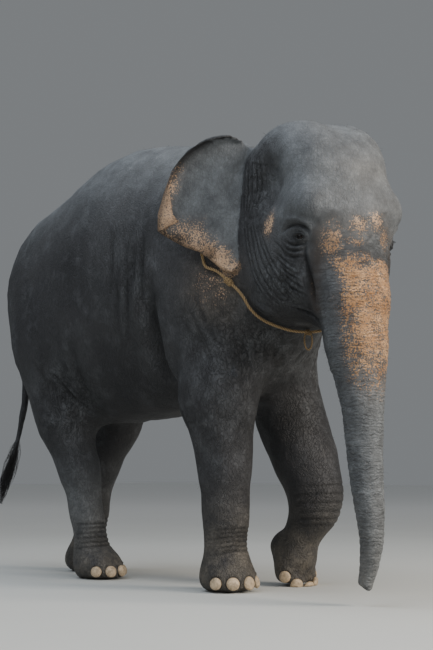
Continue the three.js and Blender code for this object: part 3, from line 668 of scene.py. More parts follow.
for her_side in BOTH_SIDES:
    for k in range(6):
        share = k / 5 + 0.03 * math.sin(5 * k)
        line = between(CHEEK_BACK, CHEEK_FRONT, share)
        stroke(on_head(her_side, line), 0.008, 0.0045 - 0.0018 * share, taper=0.6)
    for k in range(5):
        share = k / 4 + 0.04 * math.sin(3 * k)
        line = between(EAR_ROOT_BACK, EAR_ROOT_FRONT, share)
        stroke(on_head(her_side, line), 0.008, 0.006 - 0.003 * share, taper=0.5)
    stroke(on_head(her_side, TRUNK_GROOVE), 0.014, 0.013, lip=0.2, shade=0.9, taper=0.5)
    stroke(on_head(her_side, TRUNK_GROOVE[2:]), 0.030, 0.010, lip=0.0, shade=0.5, taper=1.0)
    stroke(on_head(her_side, MOUTH), 0.011, 0.014, taper=0.4)
    stroke(on_head(her_side, BROW), 0.013, -0.009, lip=0.0, shade=0.0, taper=0.6)
    stroke(on_head(her_side, LID_FOLD), 0.011, 0.013, lip=0.2, taper=0.5)
    for k, bag in enumerate(BAGS):
        stroke(on_head(her_side, bag), 0.0085, 0.0090 - 0.0015 * k, taper=0.6)
    for k in range(6):
        line = np.array(CROSSING) + [-0.002 * k, 0.006 * k, -0.040 * k + 0.010 * math.sin(5 * k)]
        stroke(on_head(her_side, line), 0.0075, 0.0055, shade=0.9, taper=0.7)
    stroke(on_head(her_side, JOWL), 0.030, -0.014, lip=0.0, shade=0.0, taper=0.7)
    swell(head_point(0.226 * her_side, 0.825, 1.655), 0.030, -0.009)
print("head folds", round(time.perf_counter() - START, 1), "s")


# %% Folds of the neck, the shoulders and the legs
def on_body(places, side=1, shift=(0, 0, 0)):
    """Row points of a line written for her left side, for one side and then shifted."""
    return np.array([body_point(*place) for place in np.array(places) * [side, 1, 1] + shift])


AXILLA = [(0.51, 0.31, 1.60), (0.49, 0.31, 1.43), (0.45, 0.31, 1.28), (0.40, 0.32, 1.12), (0.36, 0.29, 0.98)]
FLANK_FOLD = [(0.473, 0.358, 1.943), (0.506, 0.345, 1.750), (0.507, 0.355, 1.541), (0.475, 0.389, 1.362)]
CHEST_FOLD = [(1.0, -0.150, 1.360), (0.93, -0.200, 1.250), (0.85, -0.200, 1.130)]
INNER_FOLD = [(0.335, -0.190, 1.260), (0.325, -0.200, 1.150), (0.300, -0.190, 1.040)]
STIFLE = [(0.434, 1.203, 1.200), (0.400, 1.130, 1.090), (0.345, 1.060, 0.980), (0.290, 1.000, 0.900)]
THIGH_FRONT = [(0.440, 0.880, 1.340), (0.400, 0.930, 1.180), (0.330, 0.950, 1.040), (0.250, 0.930, 0.960)]
NECK_FOLDS = [(0.30, 0.05, 1.52), (0.36, -0.02, 1.36), (0.33, -0.10, 1.20), (0.22, -0.19, 1.10)]
ELBOW_BACK = [(0.40, 0.16, 1.00), (0.42, 0.10, 0.90), (0.41, 0.06, 0.78)]
for her_side in BOTH_SIDES:
    stroke(on_body(AXILLA, her_side), 0.050, 0.045, lip=0.3, taper=0.5)
    for k in range(5):
        shift = [0, 0.052 * k + 0.016 * math.sin(3 * k), 0.05 * math.sin(2.1 * k) - 0.02 * k]
        line = on_body(FLANK_FOLD[k % 2 : 4 - k % 3 % 2], her_side, shift)
        stroke(line, 0.017 + 0.004 * (k % 2), 0.015 - 0.002 * k, shade=0.9, taper=0.8)
    for k in range(7):
        across = (0.40 - 0.062 * k) * her_side
        line = on_body(CHEST_FOLD, across, [0, -0.04 * (1 - abs(across) / 0.4), -0.03 * (k % 2)])
        stroke(line, 0.010, 0.006, shade=0.8, taper=0.7)
    stroke(on_body(INNER_FOLD, her_side), 0.030, 0.018, lip=0.2, shade=0.8, taper=0.7)
    for k in range(5):
        shift = [0, 0.045 * (k - 2), 0.025 * (k - 2) + 0.02 * math.sin(4 * k)]
        stroke(on_body(STIFLE, her_side, shift), 0.012, 0.0065, shade=0.8, taper=0.7)
    stroke(on_body(THIGH_FRONT, her_side), 0.040, 0.018, lip=0.2, shade=0.6, taper=0.7)
    for k in range(3):
        shift = [0, 0.045 * k, -0.01 * k]
        stroke(on_body(NECK_FOLDS, her_side, shift), 0.012, 0.005 - 0.001 * k, taper=0.8)
    stroke(on_body(ELBOW_BACK, her_side), 0.02, 0.008, taper=0.8)


def ring_round(middle, radius, slope, start, stop):
    """Points of an arc round an upright limb. Angles are in degrees from straight ahead, positive to
    her left."""
    turn = np.radians(np.linspace(start, stop, 9))
    x, y, z = middle
    return [(x + radius * math.sin(a), y - radius * math.cos(a), z + slope * math.cos(a)) for a in turn]


WRISTS = {"right fore": (-0.255, -0.02, 0.20, 0.30, 0.13), "left fore": (0.262, -0.16, 0.30, 0.52, 0.15),
          "right hind": (-0.155, 1.13, 0.17, 0.30, 0.12), "left hind": (0.155, 1.47, 0.17, 0.30, 0.12)}
WRIST_FOLDS = 6
for x, y, low, high, radius in WRISTS.values():
    for k in range(WRIST_FOLDS):
        up = low + (high - low) * k / (WRIST_FOLDS - 1)
        sway = 18 * math.sin(2.3 * k + x * 9)
        ring = ring_round((x, y, up), radius, 0.012, -105 + sway, 105 + sway)
        stroke(on_body(ring), 0.008, 0.0035, taper=0.7)
print("body folds", round(time.perf_counter() - START, 1), "s")

# %% The hide's lip round each nail
NAIL_TOP = 0.18
horn_points, horn_faces = [], []
for nail in nails:
    horn_faces += [[len(horn_points) + index for index in face.vertices] for face in nail.data.polygons]
    horn_points += points_of(nail).tolist()
horn = BVHTree.FromPolygons(horn_points, horn_faces)
for index in np.flatnonzero(rest[:, 2] < NAIL_TOP):
    place, way, _, gap = horn.find_nearest(Vector(rest[index]), 0.03)
    if place is not None:
        gap = gap if (Vector(rest[index]) - place).dot(way) > 0 else 0.0
        pressed[index] += 0.004 * bump(gap, 0.011, 0.005) - 0.005 * bump(gap, 0.0, 0.005)
        # Painted shade darkens the hide where it meets the nail.
        painted_crease_shade[index] = max(painted_crease_shade[index], 0.8 * bump(gap, 0.003, 0.004))
print("points in the nails' lips", int((rest[:, 2] < NAIL_TOP).sum()))

# %% The trunk's rings, its finger and its nostrils
head_places = in_head(rest)
trunk_part = ramp(head_places[:, 1], 0.76, 0.82) * (1 - ramp(rest[:, 2], 1.55, 1.70))
trunk_part *= 1 - ramp(np.abs(head_places[:, 0]), 0.19, 0.22)
folding = np.sin(2 * math.pi * (rest[:, 2] / 0.037 + 0.35 * cloud(rest, 0.09)))
pressed -= 0.0022 * trunk_part * ramp(folding, 0.2, 1.0) * ramp(rest[:, 2], 0.10, 0.20)
swell(head_point(0.0, 0.948, 0.088), 0.017, 0.016)
for her_side in BOTH_SIDES:
    swell(head_point(0.014 * her_side, 0.908, 0.080), 0.010, -0.020)
print("deepest fold", round(float(pressed.min()), 4), "m")


# %% A net of small creases where the hide is loose
def patch(points, middle, size):
    """1 at a place, fading to 0 over size metres along each axis."""
    to = (points - np.array(middle)) / np.array(size)
    return np.exp(-(to * to).sum(1))


LOOSE_CHEST = ((0.0, -0.25, 1.22), (0.50, 0.30, 0.24))
# how loose, in the body's or the head's frame, place on her left, size
LOOSE_PLACES = [
    (0.6, "body", (0.50, 0.40, 1.55), (0.20, 0.20, 0.36)),
    (0.8, "body", (0.38, 1.08, 1.05), (0.20, 0.22, 0.22)),
    (0.5, "body", (0.36, -0.02, 1.05), (0.20, 0.24, 0.30)),
    (0.4, "body", (0.26, 1.66, 1.45), (0.22, 0.24, 0.40)),
    (0.7, "head", (0.27, 0.65, 1.50), (0.12, 0.17, 0.12)),
    (0.6, "head", (0.30, 0.47, 2.00), (0.10, 0.12, 0.26))
]


def loose_at(points):
    """How loose the hide is at row points, from 0 to 1."""
    in_frame = {"body": points - [*BODY_ORIGIN, 0], "head": in_head(points)}
    loose = 0.8 * patch(in_frame["body"], *LOOSE_CHEST)
    for her_side in BOTH_SIDES:
        for much, kind, place, size in LOOSE_PLACES:
            loose += much * patch(in_frame[kind], np.array(place) * [her_side, 1, 1], size)
    return np.clip(loose, 0, 1)


def net_line(points, size, wide):
    return np.clip(1 - np.abs(cloud(points, size)) / wide, 0, 1)


LOOSE_CREASE = 0.0085
loose = loose_at(rest)
drawn = rest * [1, 1, 0.62] + 0.010 * cloud(rest, 0.04)[:, None]
net = np.maximum(net_line(drawn, 0.046, 0.22), net_line(drawn + 7, 0.040, 0.20))
pressed -= LOOSE_CREASE * loose * net
# Painted shade darkens the creases of the net.
painted_crease_shade = np.maximum(painted_crease_shade, 0.75 * loose * net**1.5)
print("loose hide", round(float(loose.mean()), 3))

# %% The strokes are pressed in
TORSO_UNEVEN = 0.0035
MOST_PAST_BOX = 0.036  # how far the skin may pass the solids' box, in metres
uneven = cloud(rest * [1, 1, 0.45], 0.11) + 0.5 * cloud(rest + 5, 0.045)
shell_depth = pressed + TORSO_UNEVEN * uneven * ramp(rest[:, 2], 0.02, 0.2)
sculpted = rest + facing * shell_depth[:, None]
box_low, box_high = np.array(CAD_BOX[0]) - MOST_PAST_BOX, np.array(CAD_BOX[1]) + MOST_PAST_BOX
box_low[2] = 0
sculpted = np.clip(sculpted, box_low, box_high)
set_points(skin, sculpted)

# %% A lighter net, fine on the head and wide on the barrel
TRIANGLES = 185000
head_places = in_head(sculpted)
on_the_head = ramp(head_places[:, 1], 0.20, 0.40)
on_the_legs = 1 - ramp(sculpted[:, 2], 0.70, 1.10)
detail = skin.vertex_groups.new(name="detail")
for index, value in enumerate(1 - np.maximum(0.92 * on_the_head, 0.50 * on_the_legs)):
    detail.add([index], float(value), "REPLACE")
share_kept = TRIANGLES / (2 * len(skin.data.polygons))
weighting = {"vertex_group": "detail", "vertex_group_factor": 1.0}
modify(skin, "DECIMATE", ratio=share_kept, use_collapse_triangulate=True, **weighting)
skin.vertex_groups.clear()
print("skin", len(skin.data.polygons), "triangles", round(time.perf_counter() - START, 1), "s")

only(skin)
bpy.ops.object.shade_smooth()
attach(skin, "root")
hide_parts(*[name for name in NODES if SLOTS[name] == "hide"])


# %% [markdown]
# ## Eyes and their lids
# An elephant's eye is small, round and dark, and sits under a heavy upper lid with folds above it and
# bags below. The net round each eye is subdivided until its faces are about a millimetre. Then the skin
# there is laid over the ball: a point's way out from the ball's middle says how far it lies from the
# lids' almond opening, and that distance says how high the skin stands. Inside the opening it dives under
# the ball, so the lids have real edges.

# %% The painted shade of what was pressed is carried to the lighter net
dense = point_tree(sculpted)


def from_dense(values, obj):
    nearest = np.array([dense.find(place)[1] for place in points_of(obj)])
    return values[nearest]


keep_numbers(skin, "painted_shade", from_dense(painted_crease_shade, skin))
print("carried", round(time.perf_counter() - START, 1), "s")

# %% Finer faces round the eyes
EYE_RADIUS = 0.024
FINE_REACHES = (0.085, 0.058, 0.040)
for reach in FINE_REACHES:
    only(skin)
    places = points_of(skin)
    near = np.zeros(len(places), bool)
    for centre in eye_centres.values():
        near |= np.linalg.norm(places - centre, axis=1) < reach
    skin.data.vertices.foreach_set("select", np.zeros(len(places), bool))
    skin.data.edges.foreach_set("select", np.zeros(len(skin.data.edges), bool))
    corners = np.empty(len(skin.data.polygons) * 3, np.int32)
    skin.data.polygons.foreach_get("vertices", corners)
    skin.data.polygons.foreach_set("select", near[corners.reshape(-1, 3)].all(1))
    bpy.ops.object.mode_set(mode="EDIT")
    bpy.ops.mesh.select_mode(type="FACE")
    bpy.ops.mesh.subdivide(number_cuts=1)
    bpy.ops.mesh.select_all(action="SELECT")
    bpy.ops.mesh.quads_convert_to_tris()
    bpy.ops.object.mode_set(mode="OBJECT")
    places = points_of(skin)
    gap = np.min([np.linalg.norm(places - centre, axis=1) for centre in eye_centres.values()], axis=0)
    set_points(skin, fair(places, edges_of(skin), 4, 0.5 * (1 - ramp(gap, reach * 0.9, reach * 1.1))))
print("skin with fine eyes", len(skin.data.polygons), "triangles")

# %% The lids
OPENING = {"half_width": 0.0232, "over": 0.0132, "under": 0.0108, "tilt": 0.16}
LID = 0.0042
OVER_WRINKLES = [(0.0105, 1.0), (0.0185, 0.55), (0.0290, 0.8)]  # distance from the opening, depth
UNDER_WRINKLES = [(0.0125, 1.0), (0.0190, 0.5), (0.0300, 0.6)]


def head_way(side, ahead, up):
    return unit(np.array([*(side * SIDE + ahead * AHEAD), up]))


def eye_axes(her_side):
    """The ways out of the socket, forward along the opening and up across it, for the eye on one side."""
    out = head_way(0.94 * her_side, 0.34, -0.05)
    forward = head_way(-0.34 * her_side, 0.94, 0.0)
    forward = unit(forward - out * (forward @ out))
    return out, forward, np.cross(forward, out) * her_side


def soft_max(a, b, width):
    return 0.5 * (a + b + np.sqrt((a - b) ** 2 + width**2))


places = points_of(skin)
painted_shade = np.empty(len(places))
skin.data.attributes["painted_shade"].data.foreach_get("value", painted_shade)
wet = np.zeros(len(places))
for her_side, centre in eye_centres.items():
    out, forward, up = eye_axes(her_side)
    to = places - centre
    reach = np.linalg.norm(to, axis=1)
    near = np.flatnonzero((reach < FINE_REACHES[0]) & (to @ out > -0.002))
    way = to[near] / reach[near][:, None]
    across = np.arctan2(way @ forward, way @ out) * EYE_RADIUS
    height = np.arcsin(np.clip(way @ up, -1, 1)) * EYE_RADIUS + OPENING["tilt"] * across
    width = OPENING["half_width"]
    corner = np.linspace(-1, 1, 41)
    arch = np.clip(1 - corner**2, 0, 1) ** 0.6
    over, under = OPENING["over"], OPENING["under"]
    rim = np.stack([np.tile(corner * width, 2), np.concatenate([arch * over, -arch * under])], axis=1)
    gap = np.linalg.norm(np.stack([across, height], 1)[:, None] - rim, axis=2).min(1)
    limit = np.clip(1 - (across / width) ** 2, 0, 1) ** 0.6 * np.where(height > 0, over, under)
    gap = np.where((np.abs(across) < width) & (np.abs(height) < limit), -gap, gap)
    from_eye = reach[near] - EYE_RADIUS
    spread = gap + np.maximum(from_eye - 0.010, 0) * 0.9
    above = ramp(height, -0.004, 0.004)
    lid = EYE_RADIUS + LID * ramp(gap, -0.0005, 0.003) + 0.001
    spread = spread + 0.0028 * cloud(places[near], 0.016) + 0.0018 * cloud(places[near] + 3, 0.008)
    wrinkle = sum(bump(spread, d, 0.0020) * part for d, part in OVER_WRINKLES) * above
    wrinkle += sum(bump(spread, d, 0.0019) * part for d, part in UNDER_WRINKLES) * (1 - above)
    radial = np.sin(np.arctan2(height, across) * 17 + 5 * cloud(places[near], 0.02))
    wrinkle += 0.35 * ramp(radial, 0.3, 1.0) * ramp(spread, 0.005, 0.012) * (1 - ramp(spread, 0.020, 0.034))
    wrinkle *= (1 - ramp(spread, 0.028, 0.046)) * (0.75 + 0.5 * cloud(places[near] + 7, 0.02))
    target = soft_max(lid, reach[near], 0.009) - 0.0032 * wrinkle
    inside = 1 - ramp(gap, -0.0025, -0.0005)
    target = target * (1 - inside) + (EYE_RADIUS - 0.010) * inside
    hold = ramp(reach[near], 0.070, 0.083)
    places[near] = centre + way * (target * (1 - hold) + reach[near] * hold)[:, None]
    # Painted shade darkens the socket, the lids' wrinkles and the rim of the opening.
    socket = 0.35 * (1 - ramp(spread, 0.004, 0.042)) + 0.35 * (1 - ramp(spread, 0.002, 0.014))
    shade = np.clip(0.7 * wrinkle + socket + 0.9 * (1 - ramp(gap, 0.0, 0.006)), 0, 1)
    painted_shade[near] = np.maximum(painted_shade[near], shade)
    wet[near] = 1 - ramp(gap, 0.0, 0.0035)
places[:, 2] = np.maximum(places[:, 2], 0)
set_points(skin, places)
keep_numbers(skin, "painted_shade", painted_shade)
print("lids", round(time.perf_counter() - START, 1), "s")

# %% The eyeballs
eyeballs = []
for her_side, name in ((-1, "right"), (1, "left")):
    out, forward, up = eye_axes(her_side)
    bpy.ops.object.select_all(action="DESELECT")
    bpy.ops.mesh.primitive_uv_sphere_add(segments=48, ring_count=24, radius=EYE_RADIUS)
    ball = bpy.context.object
    ball.name = f"eyeball_{name}"
    places = points_of(ball)
    turned = np.outer(places[:, 0], forward) + np.outer(places[:, 1], up) + np.outer(places[:, 2], out)
    cornea = 0.0016 * ramp(places[:, 2] / EYE_RADIUS, 0.80, 0.93)
    turned *= (1 + cornea / EYE_RADIUS)[:, None]
    set_points(ball, turned + eye_centres[her_side])
    edit_whole(ball, OUTWARD)
    bpy.ops.object.shade_smooth()
    keep_numbers(ball, "pupil", turned @ out / np.linalg.norm(turned, axis=1))
    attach(ball, "root")
    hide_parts(f"eye_{name}")
    eyeballs.append(ball)
print("eyeballs", EYE_RADIUS, "m in radius, of", len(eyeballs[0].data.polygons), "faces")

only(skin)
bpy.ops.object.shade_smooth()

# %% [markdown]
# ## Hide
# Elephant hide is bare, dry and matt: a grey horn skin cracked into small islands, with long creases
# where it bends. Where the pigment is lost it turns pink and tan with dark freckles. Cracks finer than a
# face are a bump from Voronoi cells, darkened with painted shade. Rings and parallel lines follow the
# body, so each point carries a running number, the phase, whose sine is the line, and a strength. Other
# numbers on the points say where it is pink, dusty, soiled and ringed, where painted light from above
# lightens it, and where painted shade darkens its folds, hollows and undersides.

# %% Where the hide is pink, dusty, soiled and ringed, and where painted light and painted shade fall
places = points_of(skin)
skin_facing = normals_of(skin)
side, ahead, up = in_head(places).T
way_side, way_ahead = skin_facing[:, :2] @ SIDE, skin_facing[:, :2] @ AHEAD
from_middle = places - [*BODY_ORIGIN, 0]
head_places = np.stack([side, ahead, up], 1)


def raise_at(values, points, rows, sides=(1,)):
    """Raises values round places. A row is a place, the size over which it fades out, and its height."""
    for place, size, height in rows:
        for her_side in sides:
            values = np.maximum(values, height * patch(points, np.array(place) * [her_side, 1, 1], size))
    return values


BROW_PATCHES = [
    ((-0.148, 0.91, 1.665), (0.044, 0.10, 0.080), 0.66),
    ((-0.030, 0.95, 1.735), (0.058, 0.10, 0.050), 0.52),
    ((0.070, 0.94, 1.760), (0.052, 0.10, 0.055), 0.54),
    ((0.130, 0.92, 1.690), (0.040, 0.10, 0.060), 0.54),
    ((-0.060, 0.96, 1.660), (0.060, 0.10, 0.022), 0.44)
]
TEMPLE_PATCH = ((0.312, 0.585, 1.785), (0.08, 0.036, 0.06), 0.68)
SHOULDER_PATCH = ((-0.44, -0.10, 1.53), (0.12, 0.12, 0.11), 0.30)
PINK_TURN = math.radians(20)
ragged = up + 0.045 * cloud(head_places, 0.07) + 0.02 * cloud(head_places, 0.025)
low_enough, narrow_enough = 1 - ramp(ragged, 1.56, 1.80), 1 - ramp(np.abs(side), 0.165, 0.225)
on_trunk = ramp(ahead, 0.72, 0.84) * low_enough * narrow_enough * (from_middle[:, 1] < -0.35)
frontal = way_side * math.sin(PINK_TURN) + way_ahead * math.cos(PINK_TURN)
below_brow = ramp(ahead, 0.74, 0.80) * (from_middle[:, 1] < -0.35) * (1 - ramp(ragged, 1.55, 1.63))
near_middle = 1 - ramp(np.abs(side) + 0.035 * cloud(head_places, 0.05), 0.115, 0.205)
pink = 0.62 * below_brow * ramp(frontal, -0.15, 0.75) * ramp(up, 0.80, 1.25) * near_middle
pink = raise_at(pink, head_places, BROW_PATCHES)
pink = raise_at(pink, head_places, [TEMPLE_PATCH], BOTH_SIDES)
pink = raise_at(pink, from_middle, [SHOULDER_PATCH])
roll = np.zeros(len(places))
on_ear = np.zeros(len(places))
for sheet, band, depth in ear_marks:
    on_sheet = point_tree(sheet)
    low, high = sheet.min(0) - 0.03, sheet.max(0) + 0.03
    for index in np.flatnonzero(((places > low) & (places < high)).all(1)):
        _, nearest, gap = on_sheet.find(places[index])
        if gap < 0.025:
            pink[index] = max(pink[index], band[nearest])
            roll[index] = max(roll[index], depth[nearest])
            on_ear[index] = 1.0

# Dust, and painted light from above on the faces that look up.
dust = 0.72 * ramp(skin_facing[:, 2], 0.05, 0.9) * ramp(up, 1.3, 2.1)
forehead = ramp(ahead, 0.45, 0.7) * ramp(up, 1.62, 1.85)
dust = np.maximum(dust, 0.55 * forehead)
# Painted light on the front of the trunk's lower part.
dust = np.maximum(dust, 0.72 * on_trunk * ramp(frontal, -0.2, 0.6) * (1 - ramp(up, 1.0, 1.25)))
dust = np.maximum(dust, 0.45 * on_trunk)
dust = np.maximum(dust, 0.80 * ramp(ahead, 0.76, 0.88) * bump(up, 1.70, 0.12))
# Dust, with painted light, on the ridges between the loose hide's creases.
dust = np.maximum(dust, 0.42 * from_dense(loose * (1 - net), skin))
DUSTY_HEAD = [
    ((0.31, 0.52, 1.62), (0.10, 0.16, 0.16), 0.24),
    ((0.27, 0.58, 2.00), (0.12, 0.14, 0.14), 0.40)
]
DUSTY_HIND_LEG = ((0.25, 1.10, 0.40), (0.20, 0.30, 0.25), 0.45)
dust = raise_at(dust, head_places, DUSTY_HEAD, BOTH_SIDES)
dust = raise_at(dust, from_middle, [DUSTY_HIND_LEG], BOTH_SIDES)
dust = np.maximum(dust, 0.62 * on_ear * (1 - roll))
soil = 1 - ramp(places[:, 2], 0.05, 0.62)
SOILED_FOREHEAD = ((0.05, 0.90, 2.02), (0.25, 0.3, 0.06), 0.45)
SOILED_SHOULDER = ((-0.42, -0.10, 1.50), (0.14, 0.16, 0.16), 0.75)
soil = raise_at(soil * 0.85, head_places, [SOILED_FOREHEAD])
soil = raise_at(soil, from_middle, [SOILED_SHOULDER])
stain = np.zeros(len(places))
for up_at in np.linspace(1.36, 1.70, 9):  # a tear's stain beside the trunk's root
    lean = (up_at - 1.36) / 0.34
    place = (0.170 + 0.024 * lean, 0.800 + 0.055 * lean, up_at)
    stain = raise_at(stain, head_places, [(place, (0.022, 0.04, 0.035), 0.8)], BOTH_SIDES)


def ahead_on(line, heights):
    """How far ahead a line of the head lies at some heights."""
    line = np.array(sorted(line, key=lambda place: place[2]))
    return np.interp(heights, line[:, 2], line[:, 1])


RING_SPACING = 0.017
phase = up / RING_SPACING
strength = 0.9 * on_trunk
cheek = np.zeros(len(places))
for her_side in BOTH_SIDES:
    on_cheek = (side * her_side > 0.12) & (ahead > 0.30) & (ahead < 0.80) & (up > 1.36) & (up < 2.22)
    heights = up[on_cheek]
    from_back = ahead_on(EAR_ROOT_BACK[:3] + CHEEK_BACK, heights)
    from_front = ahead_on(EAR_ROOT_FRONT[:3] + CHEEK_FRONT, heights)
    share = (ahead[on_cheek] - from_back) / (from_front - from_back)
    phase[on_cheek] = share * 10
    fade = (1 - ramp(ahead[on_cheek], 0.68, 0.76)) * ramp(heights, 1.38, 1.44)
    fade *= 1 - ramp(heights, 2.10, 2.20)
    cheek[on_cheek] = ramp(share, -0.35, 0.0) * (1 - ramp(share, 0.8, 1.35)) * fade
strength = np.maximum(strength, 0.8 * cheek)
ankle = np.zeros(len(places))
for x, y, low, high, radius in WRISTS.values():
    close = np.hypot(from_middle[:, 0] - x, from_middle[:, 1] - y) < radius + 0.12
    ankle = np.maximum(ankle, close * bump(places[:, 2], (low + high) / 2, (high - low) * 0.75))
legs = (places[:, 2] < 0.9) & (on_trunk < 0.01)
strength = np.where(legs, np.maximum(strength, 0.7 * ankle), strength)
phase = np.where(legs, places[:, 2] / 0.020, phase)

# Painted shadow on the barrel behind each foreleg and on the inner top of each foreleg.
PAINTED_SHADOW_PLACES = [
    ((0.45, 0.50, 1.30), (0.30, 0.17, 0.42), 0.50),
    ((0.13, -0.08, 0.93), (0.13, 0.26, 0.30), 0.72)
]
# Painted shade inside each ear's rolled rim and in the places above.
painted_shade = raise_at(np.maximum(painted_shade, 0.9 * roll), from_middle, PAINTED_SHADOW_PLACES, BOTH_SIDES)
# Painted shade on the faces that look down, above the lower legs.
painted_shade = np.maximum(painted_shade, 0.35 * (1 - ramp(skin_facing[:, 2], -0.8, -0.3)) * ramp(places[:, 2], 0.7, 0.9))
crinkle = 0.40 + 0.15 * (1 - ramp(places[:, 2], 0.75, 1.05)) * (1 - on_trunk) + 0.75 * loose_at(places)
crinkle = np.clip(crinkle - 0.24 * forehead - 0.20 * ramp(places[:, 2], 1.9, 2.2) - 0.2 * on_ear, 0.05, 1)
marks = {
    "pink": pink, "crinkle": crinkle, "dust": dust, "soil": soil, "stain": stain, "phase": phase,
    "lined": strength, "ringed": on_trunk, "wet": wet
}
for name, values in marks.items():
    keep_numbers(skin, name, values)
keep_numbers(skin, "painted_shade", painted_shade)
print("marks", {name: round(float(np.mean(values)), 3) for name, values in marks.items()})


# %% Helpers for materials
def linear(code):
    """A colour socket's value from an sRGB hex code."""
    parts = [int(code[i : i + 2], 16) / 255 for i in (1, 3, 5)]
    return (*(v / 12.92 if v <= 0.04045 else ((v + 0.055) / 1.055) ** 2.4 for v in parts), 1.0)


def new_material(name):
    material = bpy.data.materials.new(name)
    material.use_nodes = True
    material.node_tree.nodes.clear()
    return material, material.node_tree


def add(tree, kind, links=(), **settings):
    """Adds a node, sets its options, and fills its sockets with values or with other nodes' outputs."""
    made = tree.nodes.new(kind)
    for name, value in settings.items():
        setattr(made, name, value)
    for socket, value in dict(links).items():
        if isinstance(value, bpy.types.NodeSocket):
            tree.links.new(value, made.inputs[socket])
        else:
            made.inputs[socket].default_value = value
    return made


def number(tree, name):
    return add(tree, "ShaderNodeAttribute", attribute_name=name).outputs["Fac"]


def sum_up(tree, operation, a, b=0.0, c=0.0, clamp=False):
    return add(tree, "ShaderNodeMath", {0: a, 1: b, 2: c}, operation=operation, use_clamp=clamp).outputs[0]


def noise(tree, place, scale, detail, rough=0.5):
    settings = {"Vector": place, "Scale": scale, "Detail": detail, "Roughness": rough}
    return add(tree, "ShaderNodeTexNoise", settings).outputs


def spread_over(tree, value, low, high, least=0.0, kind="LINEAR"):
    """Turns low to high into least to 1, and stops there."""
    limits = {"Value": value, "From Min": low, "From Max": high, "To Min": least}
    return add(tree, "ShaderNodeMapRange", limits, interpolation_type=kind).outputs[0]


def dimmed(tree, colour, share):
    """A colour times a number."""
    grey = add(tree, "ShaderNodeCombineColor", {"Red": share, "Green": share, "Blue": share}).outputs[0]
    return between_colours(tree, 1.0, colour, grey, "MULTIPLY")


def bumps(tree, strength, height):
    """A relief whose height is in metres."""
    return add(tree, "ShaderNodeBump", {"Strength": strength, "Distance": 1.0, "Height": height}).outputs[0]


def principled(tree, colour, rough, **links):
    """Closes a material with one shader."""
    links = {"Base Color": colour, "Roughness": rough, **links}
    shader = add(tree, "ShaderNodeBsdfPrincipled", links)
    add(tree, "ShaderNodeOutputMaterial", {"Surface": shader.outputs[0]})


def between_colours(tree, share, first, second, blend="MIX"):
    links = {"Factor": share, "A": first, "B": second}
    return add(tree, "ShaderNodeMix", links, data_type="RGBA", blend_type=blend).outputs["Result"]


def stretched(tree, place, by):
    """The same place with each axis times a number."""
    return add(tree, "ShaderNodeVectorMath", {0: place, 1: by}, operation="MULTIPLY").outputs[0]


print("a mid grey is", round(linear("#808080")[0], 3), "in a colour socket")


# %% The hide's material
# Keratin skin, dry and matt, rough about 0.75, with dust and painted light from above in the open, and
# painted shade in the cracks and creases.
CELL = 0.017  # a large island of hide, in metres
FINE_CELL = 0.0065
SPECKLE = 0.0075
VEIN = 0.021
WARP = 0.022


